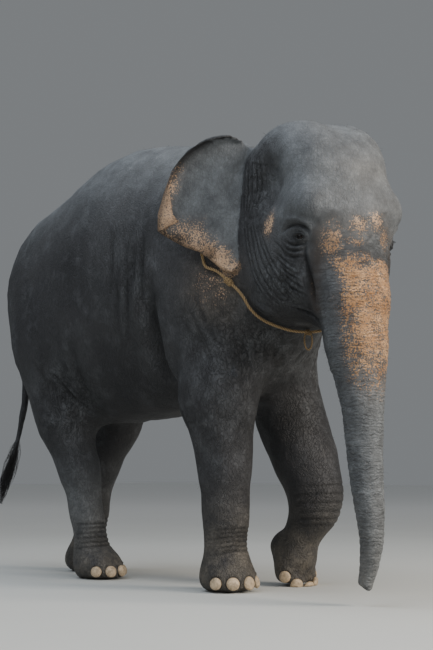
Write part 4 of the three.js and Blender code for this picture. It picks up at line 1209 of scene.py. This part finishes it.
def hide_material():
    material, tree = new_material("dry_elephant_hide")
    place = add(tree, "ShaderNodeTexCoord").outputs["Object"]
    pink, dust, soil, stain, painted_shade_fac, wet = (
        number(tree, name) for name in ("pink", "dust", "soil", "stain", "painted_shade", "wet")
    )
    phase, lined, ringed, crinkle = (number(tree, name) for name in ("phase", "lined", "ringed", "crinkle"))

    def cracks(vector, size):
        links = {"Vector": vector, "Scale": 1 / size}
        edge = add(tree, "ShaderNodeTexVoronoi", links, feature="DISTANCE_TO_EDGE").outputs["Distance"]
        return spread_over(tree, edge, 0.0, 0.30, kind="SMOOTHSTEP")

    def between(low, high, value, smooth=False):
        return spread_over(tree, value, low, high, kind="SMOOTHSTEP" if smooth else "LINEAR")

    def times(a, b):
        return sum_up(tree, "MULTIPLY", a, b)

    def times_plus(a, b, c):
        return sum_up(tree, "MULTIPLY_ADD", a, b, c)

    def less(a, b):
        return sum_up(tree, "SUBTRACT", a, b)

    patchy = noise(tree, place, 1 / 0.055, 3.0, 0.6)
    links = {0: patchy["Color"], 1: (WARP, WARP, WARP), 2: place}
    warped = add(tree, "ShaderNodeVectorMath", links, operation="MULTIPLY_ADD").outputs[0]
    links = {"Factor": ringed, "A": (1.0, 1.0, 0.55), "B": (0.6, 0.6, 1.7)}
    lie = add(tree, "ShaderNodeMix", links, data_type="VECTOR").outputs["Result"]
    grain = stretched(tree, warped, lie)
    coarse, fine = cracks(grain, CELL), cracks(grain, FINE_CELL)
    wander = patchy["Fac"]
    veins = noise(tree, grain, 1 / VEIN, 2.0, 0.45)["Color"]
    first, second, _ = add(tree, "ShaderNodeSeparateColor", {"Color": veins}).outputs

    def one_or(share, value):
        return add(tree, "ShaderNodeMix", {"Factor": share, "A": 1.0, "B": value}).outputs[0]

    def vein(value, wide):
        off = sum_up(tree, "ABSOLUTE", less(value, 0.5))
        return between(0.0, wide, off, True)

    creases = times(vein(first, 0.050), vein(second, 0.040))
    creases = one_or(crinkle, creases)
    wave = sum_up(tree, "SINE", times(times_plus(wander, 3.0, phase), 2 * math.pi))
    keep = times(lined, between(0.36, 0.62, noise(tree, place, 1 / 0.04, 1.0, 0.55)["Fac"]))
    lines = one_or(keep, between(-1.0, -0.1, wave, True))

    broad = noise(tree, place, 1 / 0.42, 3.0, 0.55)["Fac"]
    mottle = noise(tree, place, 1 / 0.10, 5.0, 0.68)["Fac"]
    grey = between_colours(tree, between(0.35, 0.65, broad), linear("#252528"), linear("#3a3a3c"))
    grey = between_colours(tree, between(0.50, 0.78, mottle), grey, linear("#505154"))
    muddy = times(soil, between(0.30, 0.62, mottle))
    grey = between_colours(tree, muddy, grey, linear("#6c655a"))
    # Dust, with painted light from above, turns the grey a pale bluish grey.
    dusted_and_lit = sum_up(tree, "MULTIPLY", dust, times_plus(between(0.30, 0.70, mottle), 0.65, 0.35), clamp=True)
    grey = between_colours(tree, dusted_and_lit, grey, linear("#8b9093"))
    grey = between_colours(tree, times(stain, 0.6), grey, linear("#5e4a38"))

    grey = between_colours(tree, sum_up(tree, "MULTIPLY", pink, 0.75, clamp=True), grey, linear("#6b5d52"))
    speckle = noise(tree, place, 1 / SPECKLE, 2.0, 0.6)["Fac"]
    level = times_plus(less(speckle, 0.5), 2.6, pink)
    level = times_plus(less(wander, 0.5), 0.9, level)
    bare = times(between(0.34, 0.70, level, True), between(0.05, 0.25, pink))
    flesh = between_colours(tree, between(0.38, 0.62, mottle), linear("#b08052"), linear("#cda276"))
    flesh = between_colours(tree, ringed, between_colours(tree, 0.42, flesh, linear("#dcc4ac")), flesh)
    colour = between_colours(tree, bare, grey, flesh)
    # Painted shade darkens the cracks, the rings and lines, the creases and the places of painted shade.
    shade = times(times_plus(coarse, 0.15, 0.85), times_plus(fine, 0.16, 0.84))
    shade = times(shade, times_plus(lines, 0.45, 0.55))
    shade = times(shade, times_plus(creases, 0.45, 0.55))
    shade = times(shade, times_plus(painted_shade_fac, -0.70, 1.0))
    shade = times(shade, times_plus(wet, -0.6, 1.0))
    colour = dimmed(tree, colour, shade)

    height = times_plus(coarse, 0.0008, times(fine, 0.0005))
    height = times_plus(lines, 0.0028, height)
    height = times_plus(creases, 0.0050, height)
    height = times_plus(speckle, 0.0008, height)
    rough = times_plus(mottle, 0.25, times_plus(wet, -0.35, 0.52))
    principled(tree, colour, rough, Normal=bumps(tree, 0.9, height), IOR=1.45)
    return material


skin.data.materials.clear()
skin.data.materials.append(hide_material())
print("hide of", len(skin.data.materials[0].node_tree.nodes), "nodes")


# %% The eye's material
# A wet ball: dark brown iris, black round pupil and a narrow dull white, under a smooth clear film.
def eye_material():
    material, tree = new_material("wet_eye")
    way = number(tree, "pupil")
    place = add(tree, "ShaderNodeTexCoord").outputs["Object"]
    fibres = noise(tree, place, 400.0, 3.0)["Fac"]
    iris = between_colours(tree, fibres, linear("#090504"), linear("#1a0e08"))
    pupil = spread_over(tree, way, 0.955, 0.97)
    white = spread_over(tree, way, 0.80, 0.76)
    colour = between_colours(tree, pupil, iris, linear("#050404"))
    colour = between_colours(tree, white, colour, linear("#181210"))
    principled(tree, colour, 0.08, IOR=1.376)
    return material


wet_eye = eye_material()
for ball in eyeballs:
    ball.data.materials.append(wet_eye)
print("wet eyes", [ball.name for ball in eyeballs])


# %% The nails' material
# Horn: dull cream with faint growth lines across, darker and rougher where it is stained.
def horn_material():
    material, tree = new_material("toenail_horn")
    place = add(tree, "ShaderNodeTexCoord").outputs["Object"]
    lines = noise(tree, stretched(tree, place, (0.25, 0.25, 1.0)), 260.0, 3.0)["Fac"]
    dirt = noise(tree, place, 45.0, 5.0, 0.65)["Fac"]
    colour = between_colours(tree, spread_over(tree, dirt, 0.40, 0.64), linear("#b9a284"), linear("#7c6a52"))
    colour = between_colours(tree, sum_up(tree, "MULTIPLY", lines, 0.35), colour, linear("#d9c8ac"))
    relief = bumps(tree, 0.6, sum_up(tree, "MULTIPLY", lines, 0.0012))
    principled(tree, colour, sum_up(tree, "MULTIPLY_ADD", dirt, 0.3, 0.4), Normal=relief)
    return material


horn_finish = horn_material()
for nail in nails:
    nail.data.materials.append(horn_finish)
print("horn on", len(nails), "nails")


# %% [markdown]
# ## Rope
# The rope round her neck is three strands of plant fibre laid round each other, with a knot on her right
# side and a small hanging loop at the throat. Each length is a rolled grid whose section has one round
# lobe for each strand, and whose rings turn as they go. Its line runs through the middles of the solid
# rope's rings and is held off the skin by the rope's own thickness.

# %% The rope's line, from its solid
ROPE_RADIUS = 0.008
matrix = np.array(NODES["neck_rope"].matrix_world)
corners = np.unique((points_of(NODES["neck_rope"]) @ matrix[:3, :3].T + matrix[:3, 3]).round(5), axis=0)
near_corner = point_tree(corners)
left = set(range(len(corners)))
ring_middles = []
while left:
    group = [left.pop()]
    for member in group:
        for _, index, _ in near_corner.find_range(corners[member], 2.2 * ROPE_RADIUS):
            if index in left:
                left.discard(index)
                group.append(index)
    middle = corners[group].mean(0)
    if len(group) == 4 and abs(np.linalg.norm(corners[group] - middle, axis=1).mean() - ROPE_RADIUS) < 0.0006:
        ring_middles.append(middle)
ring_middles = np.array(ring_middles)
to = ring_middles - ring_middles.mean(0)
ring_middles = ring_middles[np.argsort(np.arctan2(to[:, :2] @ SIDE, to[:, 2]))]
print("rings found on the rope", len(ring_middles))


def evenly(line, step):
    """The same line at even steps of about the given length, and its whole length."""
    gone = np.concatenate([[0], np.cumsum(np.linalg.norm(np.diff(line, axis=0), axis=1))])
    at = np.linspace(0, gone[-1], int(gone[-1] / step) + 1)
    return np.stack([np.interp(at, gone, line[:, axis]) for axis in range(3)], axis=1), gone[-1]


count = len(ring_middles)
wrapped = smooth_line(np.vstack([ring_middles[-3:], ring_middles, ring_middles[:4]]), (count + 6) * 24 + 1)
neck_line, rope_length = evenly(wrapped[3 * 24 : (count + 3) * 24 + 1], 0.0042)
hide_surface = surface_tree(skin)
pushes = np.zeros_like(neck_line)
for index, place in enumerate(neck_line):
    on_hide, way, _, _ = hide_surface.find_nearest(Vector(place))
    height = (Vector(place) - on_hide).dot(way)
    pushes[index] = np.array(way) * (min(max(height, ROPE_RADIUS + 0.001), ROPE_RADIUS + 0.009) - height)
around = np.arange(len(pushes))
pushes = relax(pushes, np.stack([around, np.roll(around, -1)], axis=1), 30, np.full(len(pushes), 0.5))
neck_line = neck_line + pushes
neck_line[-1] = neck_line[0]
print("rope", round(rope_length, 3), "m, moved by up to", round(float(np.abs(pushes).max()), 4))


# %% Strands laid into a rope
def laid_rope(name, line, radius, strands, lay, across, closed=False):
    """A rope along a line, lay is the length of one full turn of a strand."""
    line, length = evenly(line, lay / 12)
    turns = max(1, round(length / lay))

    def lobes(angle, along):
        off = (angle * strands / (2 * math.pi) + 0.5) % 1 - 0.5
        off = off * 2 * math.pi / strands
        out, size = (0.46, 0.54) if strands == 3 else (0.48, 0.52)
        return out * np.cos(off) + np.sqrt(np.maximum(size**2 - (out * np.sin(off)) ** 2, 0.02))

    radii = np.full(len(line), radius)
    if not closed:
        radii[[0, -1]] *= 0.6
    return rolled_tube(name, line, radii, strands * 8, across, lobes, turns * 2 * math.pi, closed)


PLANE_WAY = np.array([*AHEAD, 0.32])
neck_rope = laid_rope("neck_rope_fibre", neck_line, ROPE_RADIUS, 3, 0.050, PLANE_WAY, True)

KNOT_AT = head_point(-0.362, 0.288, 1.5595)
at = int(np.linalg.norm(neck_line - KNOT_AT, axis=1).argmin())
along = unit(neck_line[(at + 3) % len(neck_line)] - neck_line[at - 3])
first = unit(PLANE_WAY - along * (along @ PLANE_WAY))
second = np.cross(along, first)
share = np.linspace(0, 1, 90)[:, None]
turn = share * 3.25 * 2 * math.pi
wide = 0.0125 * np.minimum(1, 8 * np.minimum(share, 1 - share) + 0.25)
knot_line = neck_line[at] + along * (share - 0.5) * 0.044
knot_line = knot_line + wide * (np.cos(turn) * first + np.sin(turn) * second)
knot = laid_rope("knot", knot_line, 0.0068, 3, 0.040, along)

throat = neck_line[neck_line[:, 2].argmin()]
turn = np.linspace(0, 2 * math.pi, 80)[:, None]
aside, forward, upward = np.array([*SIDE, 0.0]), np.array([*AHEAD, 0.0]), np.array([0, 0, 1.0])
loop_line = throat + 0.022 * np.sin(turn) * aside + [0, 0, 0.008] - 0.048 * (1 - np.cos(turn)) * upward
loop = laid_rope("loop", loop_line, 0.0045, 2, 0.026, forward, True)
turn = np.linspace(0, 1, 70)[:, None] * 3 * 2 * math.pi
tie_line = throat + np.linspace(-0.013, 0.013, 70)[:, None] * aside
tie_line = tie_line + 0.0115 * (np.cos(turn) * forward + np.sin(turn) * upward)
tie = laid_rope("tie", tie_line, 0.0042, 2, 0.026, aside)
rope = joined([neck_rope, knot, loop, tie], "neck_rope_fibre")
bpy.ops.object.shade_smooth()
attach(rope, "root")
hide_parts("neck_rope")
print("rope faces", len(rope.data.polygons))


# %% The rope's material
# Coir and hemp rope: dry tan fibres, with painted shade where the strands meet, rough all over.
def fibre_material():
    material, tree = new_material("laid_plant_fibre")
    place = add(tree, "ShaderNodeTexCoord").outputs["Object"]
    fibres = noise(tree, place, 900.0, 2.0)["Fac"]
    worn = noise(tree, place, 22.0, 4.0)["Fac"]
    colour = between_colours(tree, worn, linear("#6b5537"), linear("#9c8058"))
    colour = between_colours(tree, sum_up(tree, "MULTIPLY", fibres, 0.6), colour, linear("#b79f78"))
    # Painted shade between the strands.
    colour = dimmed(tree, colour, spread_over(tree, number(tree, "crown"), 0.62, 0.90, 0.35))
    principled(tree, colour, 0.9, Normal=bumps(tree, 0.8, sum_up(tree, "MULTIPLY", fibres, 0.0008)))
    return material


rope.data.materials.append(fibre_material())
print("rope's material", rope.data.materials[0].name)

# %% [markdown]
# ## Bristles
# An elephant has few hairs: a flat brush of stiff black ones at the end of the tail, long lashes, and
# sparse short bristles on the crown, the chin, the trunk and the back. Each is a thin tapering solid. All
# hairs of one piece are laid out as arrays and made as one mesh. Each hair's patch on the map lies where
# its root is on an unwrap of a lighter copy of the skin.

# %% An unwrap of the skin's own shape
MAP_FACES = 8000
map_form = skin.copy()
map_form.data = skin.data.copy()
bpy.context.scene.collection.objects.link(map_form)
modify(map_form, "DECIMATE", ratio=MAP_FACES / len(map_form.data.polygons))
bpy.ops.object.mode_set(mode="EDIT")
bpy.ops.mesh.select_all(action="SELECT")
bpy.ops.uv.smart_project(angle_limit=math.radians(66), island_margin=0.004)
bpy.ops.object.mode_set(mode="OBJECT")
map_points = [vert.co.copy() for vert in map_form.data.vertices]
map_faces = [tuple(face.vertices) for face in map_form.data.polygons]
map_places = np.empty(len(map_form.data.loops) * 2)
map_form.data.uv_layers.active.data.foreach_get("uv", map_places)
map_places = map_places.reshape(-1, 2)
map_starts = [face.loop_start for face in map_form.data.polygons]
map_tree = BVHTree.FromPolygons(map_points, map_faces)
bpy.data.objects.remove(map_form)


def place_on_map(root):
    on_form, _, index, _ = map_tree.find_nearest(Vector(root))
    weights = poly_3d_calc([map_points[corner] for corner in map_faces[index]], on_form)
    start = map_starts[index]
    return sum(weight * map_places[start + k] for k, weight in enumerate(weights))


print("map of", len(map_faces), "faces", round(time.perf_counter() - START, 1), "s")

# %% Hairs from arrays
MAP_PATCH = 0.003


def hairs(name, paths, half_width):
    """One mesh of tapering three-sided hairs. paths is hairs by steps by 3."""
    count, steps = paths.shape[:2]
    ahead = unit(np.gradient(paths, axis=1))
    first = unit(np.cross(ahead, RANDOM.normal(size=(count, 1, 3))))
    second = np.cross(ahead, first)
    thin = (half_width[:, None] * (1 - 0.8 * np.linspace(0, 1, steps) ** 1.5))[..., None, None]
    turn = (np.arange(3) * 2 * math.pi / 3)[:, None]
    rings = paths[:, :, None] + thin * (np.cos(turn) * first[:, :, None] + np.sin(turn) * second[:, :, None])
    base = (np.arange(count) * steps * 3)[:, None]
    step, side = np.meshgrid(np.arange(steps - 1), np.arange(3), indexing="ij")
    a, b = (step * 3 + side).ravel(), (step * 3 + (side + 1) % 3).ravel()
    walls = np.stack([a, b, b + 3, a + 3], axis=1)[None] + base[..., None]
    caps = np.array([[2, 1, 0], [steps * 3 - 3, steps * 3 - 2, steps * 3 - 1]])[None] + base[..., None]
    mesh = bpy.data.meshes.new(name)
    faces = walls.reshape(-1, 4).tolist() + caps.reshape(-1, 3).tolist()
    mesh.from_pydata(rings.reshape(-1, 3).tolist(), [], faces)
    obj = bpy.data.objects.new(name, mesh)
    bpy.context.scene.collection.objects.link(obj)
    roots = np.array([place_on_map(root) for root in paths[:, 0]])
    spread = MAP_PATCH / 2 * np.stack([np.cos(turn[:, 0]), np.sin(turn[:, 0])], axis=1)
    on_map = roots[:, None, None] + spread[None, None] * np.linspace(0.4, 1, steps)[None, :, None, None]
    corners = np.empty(len(mesh.loops), np.int32)
    mesh.loops.foreach_get("vertex_index", corners)
    mesh.uv_layers.new(name="OFBake").data.foreach_set("uv", on_map.reshape(-1, 2)[corners].ravel())
    keep_numbers(obj, "tone", np.repeat(RANDOM.random(count), steps * 3))
    edit_whole(obj, OUTWARD)
    bpy.ops.object.shade_smooth()
    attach(obj, "root")
    return obj


# %% The tail's switch
SWITCH_LINE = [(1.965, 0.840), (1.998, 0.740), (2.050, 0.615), (2.105, 0.505), (2.140, 0.385)]
SWITCH_HAIRS, SWITCH_STEPS = 420, 9
switch_line = smooth_line(SWITCH_LINE, 200)
switch_ahead = unit(np.gradient(switch_line, axis=0))
start = RANDOM.random(SWITCH_HAIRS) ** 0.8 * 0.52
stop = np.minimum(start + 0.34 + 0.30 * RANDOM.random(SWITCH_HAIRS), 0.985)
turn = RANDOM.random(SWITCH_HAIRS) * 2 * math.pi
wide = RANDOM.random(SWITCH_HAIRS) ** 0.6
share = np.linspace(0, 1, SWITCH_STEPS)[None]
at = start[:, None] + (stop - start)[:, None] * share
index = at * 199
body = np.sin(math.pi * np.minimum(0.12 + at * 0.9, 1)) ** 0.7
half_x, half_flat = 0.005 + 0.019 * body, 0.008 + 0.050 * body
middle_y, middle_z = (np.interp(index, np.arange(200), switch_line[:, k]) for k in (0, 1))
way_y, way_z = (np.interp(index, np.arange(200), switch_ahead[:, k]) for k in (0, 1))
bow = ramp(share, 0.0, 0.55)
round_x, round_flat = np.cos(turn)[:, None] * wide[:, None], np.sin(turn)[:, None] * wide[:, None]
off_x = round_x * half_x * bow + 0.004 * np.sin(7 * share + turn[:, None] * 3) * share
off_flat = round_flat * half_flat * bow + 0.006 * np.sin(5 * share + turn[:, None] * 5) * share
places_y = middle_y - way_z * off_flat
places_z = middle_z + way_y * off_flat
tail_at = np.interp(middle_z, tail_line[::-1, 1], tail_line[::-1, 0])
root_y = tail_at + np.sin(turn)[:, None] * 0.011
places_y = root_y * (1 - bow) + places_y * bow
switch_paths = np.stack([BODY_ORIGIN[0] + off_x, BODY_ORIGIN[1] + places_y, places_z], axis=-1)
switch = hairs("tail_switch_hair", switch_paths, 0.0009 + 0.0006 * RANDOM.random(SWITCH_HAIRS))
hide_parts("tail_switch")
print("switch", len(switch.data.polygons), "faces, down to", round(float(points_of(switch)[:, 2].min()), 3))

# %% Sparse bristles and lashes
SPARSE_HAIRS = 1500
corners = np.array([tuple(face.vertices) for face in skin.data.polygons])
skin_points = points_of(skin)
triangle = skin_points[corners]
cross = np.cross(triangle[:, 1] - triangle[:, 0], triangle[:, 2] - triangle[:, 0])
area = np.linalg.norm(cross, axis=1)
outward = cross / np.maximum(area, 1e-12)[:, None]
centre = triangle.mean(1)
_, ahead_at, up_at = in_head(centre).T
body_x, body_y = centre[:, 0] - BODY_ORIGIN[0], centre[:, 1] - BODY_ORIGIN[1]
crown = 0.45 * ramp(ahead_at, 0.30, 0.40) * ramp(up_at, 2.02, 2.20)
chin = 0.9 * ramp(ahead_at, 0.55, 0.65) * (1 - ramp(ahead_at, 0.78, 0.82))
chin = chin * (1 - ramp(up_at, 1.36, 1.42)) * (up_at > 1.1)
ridge = 0.30 * (np.abs(body_x) < 0.14) * ramp(centre[:, 2], 2.15, 2.30) * (body_y > 0.2)
nose = 0.16 * ramp(ahead_at, 0.80, 0.84) * (up_at < 1.7)
anywhere = 0.012 * (centre[:, 2] > 0.5)
weight = area * (crown + chin + ridge + nose + anywhere)
for centre_of_eye in eye_centres.values():
    weight *= np.linalg.norm(centre - centre_of_eye, axis=1) > 0.06
for sheet, _, _ in ear_marks:
    weight *= ((centre < sheet.min(0) - 0.01) | (centre > sheet.max(0) + 0.01)).any(1)
chosen = RANDOM.choice(len(area), SPARSE_HAIRS, p=weight / weight.sum())
mix = RANDOM.dirichlet((1, 1, 1), SPARSE_HAIRS)
roots = (triangle[chosen] * mix[..., None]).sum(1)
lie = np.array([*(-AHEAD * 0.35), -0.25]) + RANDOM.normal(size=(SPARSE_HAIRS, 3)) * 0.28
stand = outward[chosen] * 0.9
length = (0.008 + 0.014 * RANDOM.random(SPARSE_HAIRS))[:, None, None]
share = np.linspace(0, 1, 4)[None, :, None]
sparse_paths = roots[:, None] - outward[chosen][:, None] * 0.002
sparse_paths = sparse_paths + length * (stand[:, None] * share + lie[:, None] * share**2)
sparse = hairs("body_bristles", sparse_paths, 0.00025 + 0.0002 * RANDOM.random(SPARSE_HAIRS))

lash_paths = []
for her_side, centre_of_eye in eye_centres.items():
    out, forward, up_way = eye_axes(her_side)
    for place in np.linspace(-0.9, 0.9, 34):
        across = (place + 0.02 * RANDOM.normal()) * OPENING["half_width"]
        height = max(1 - place**2, 0) ** 0.6 * OPENING["over"] - OPENING["tilt"] * across
        slant, lift = across / EYE_RADIUS, height / EYE_RADIUS
        way = math.cos(lift) * (math.cos(slant) * out + math.sin(slant) * forward) + math.sin(lift) * up_way
        root = centre_of_eye + way * (EYE_RADIUS + 0.7 * LID)
        droop = np.linspace(0, 1, 5)[:, None]
        reach = 0.016 + 0.006 * RANDOM.random()
        bend = droop * (0.8 * way + 0.25 * forward * place) - droop**2 * up_way * 0.45
        lash_paths.append(root + reach * bend)
lashes = hairs("lashes", np.array(lash_paths), np.full(len(lash_paths), 0.00042))
print("sparse", len(sparse.data.polygons), "lashes", len(lashes.data.polygons))


# %% The bristles' material
# Stiff keratin hair, black to dark brown, smooth enough for a faint sheen.
def bristle_material():
    material, tree = new_material("black_bristle")
    colour = between_colours(tree, number(tree, "tone"), linear("#0d0d10"), linear("#2c2826"))
    principled(tree, colour, 0.5)
    return material


bristle = bristle_material()
for obj in (switch, sparse, lashes):
    obj.data.materials.append(bristle)
print("bristle's material", bristle.name)

# %% Camera
CAMERA_FROM_BODY = [-5.281, -4.607]
CAMERA_HEIGHT = 0.634
CAMERA_TILT, CAMERA_HEADING = math.radians(6.01), math.radians(-47.2)
CAMERA_LENS = 73.66154  # millimetres
bpy.ops.object.select_all(action="DESELECT")
place = (*(BODY_ORIGIN + CAMERA_FROM_BODY), CAMERA_HEIGHT)
bpy.ops.object.camera_add(location=place, rotation=(math.pi / 2 + CAMERA_TILT, 0, CAMERA_HEADING))
camera = bpy.context.object
camera.data.lens = CAMERA_LENS
bpy.context.scene.camera = camera
print("camera", [round(value, 3) for value in camera.location])

# %% [markdown]
# ## Studio
# A pale floor and four soft lights: a wide one overhead for the dusty back and forehead, a key from ahead
# and to her left that runs down the trunk, a fill from ahead and to her right, and a faint one beside her
# right flank.

# %% Floor and light
def soft_light(name, place, target, size, power, colour):
    way = Vector(target) - Vector(place)
    bpy.ops.object.select_all(action="DESELECT")
    bpy.ops.object.light_add(type="AREA", location=place, rotation=way.to_track_quat("-Z", "Y").to_euler())
    light = bpy.context.object
    light.name = name
    light.data.size = size
    light.data.energy = power
    light.data.color = linear(colour)[:3]
    return light


FLOOR_SIZE = 60
bpy.ops.object.select_all(action="DESELECT")
bpy.ops.mesh.primitive_plane_add(size=FLOOR_SIZE)
floor = bpy.context.object
floor.name = "floor"
floor_paint, tree = new_material("matt_floor_paint")
place = add(tree, "ShaderNodeTexCoord").outputs["Object"]
cloudy = noise(tree, place, 0.8, 4.0)["Fac"]
paint = between_colours(tree, cloudy, linear("#bdbeba"), linear("#c8c9c5"))
# The floor's paint turns lighter far from the middle: painted light where the lamps' light falls off.
far_off_painted_light = add(tree, "ShaderNodeVectorMath", {0: place}, operation="LENGTH").outputs["Value"]
far_off_painted_light = spread_over(tree, far_off_painted_light, 4.0, 14.0, kind="SMOOTHSTEP")
paint = between_colours(tree, far_off_painted_light, paint, linear("#f6f6f4"))
principled(tree, paint, 0.8)
floor.data.materials.append(floor_paint)
soft_light("overhead", (-2.4, 0.4, 7.3), (0.0, 0.0, 1.5), 7.0, 450, "#e4ecf6")
soft_light("key", (1.6, -7.4, 4.4), (-0.2, -1.4, 1.4), 3.5, 660, "#fff4e6")
soft_light("front_fill", (-3.4, -7.8, 3.4), (-0.4, -1.0, 1.5), 4.5, 230, "#f1f2f4")
soft_light("side_fill", (-7.0, -1.0, 3.4), (0.0, 0.2, 1.4), 4.0, 35, "#e8eef6")
world = bpy.data.worlds.new("studio")
bpy.context.scene.world = world
world.use_nodes = True
background = world.node_tree.nodes["Background"]
background.inputs["Color"].default_value = linear("#d8dde1")
background.inputs["Strength"].default_value = 0.29

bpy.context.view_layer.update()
print("script took", round(time.perf_counter() - START, 1), "s")
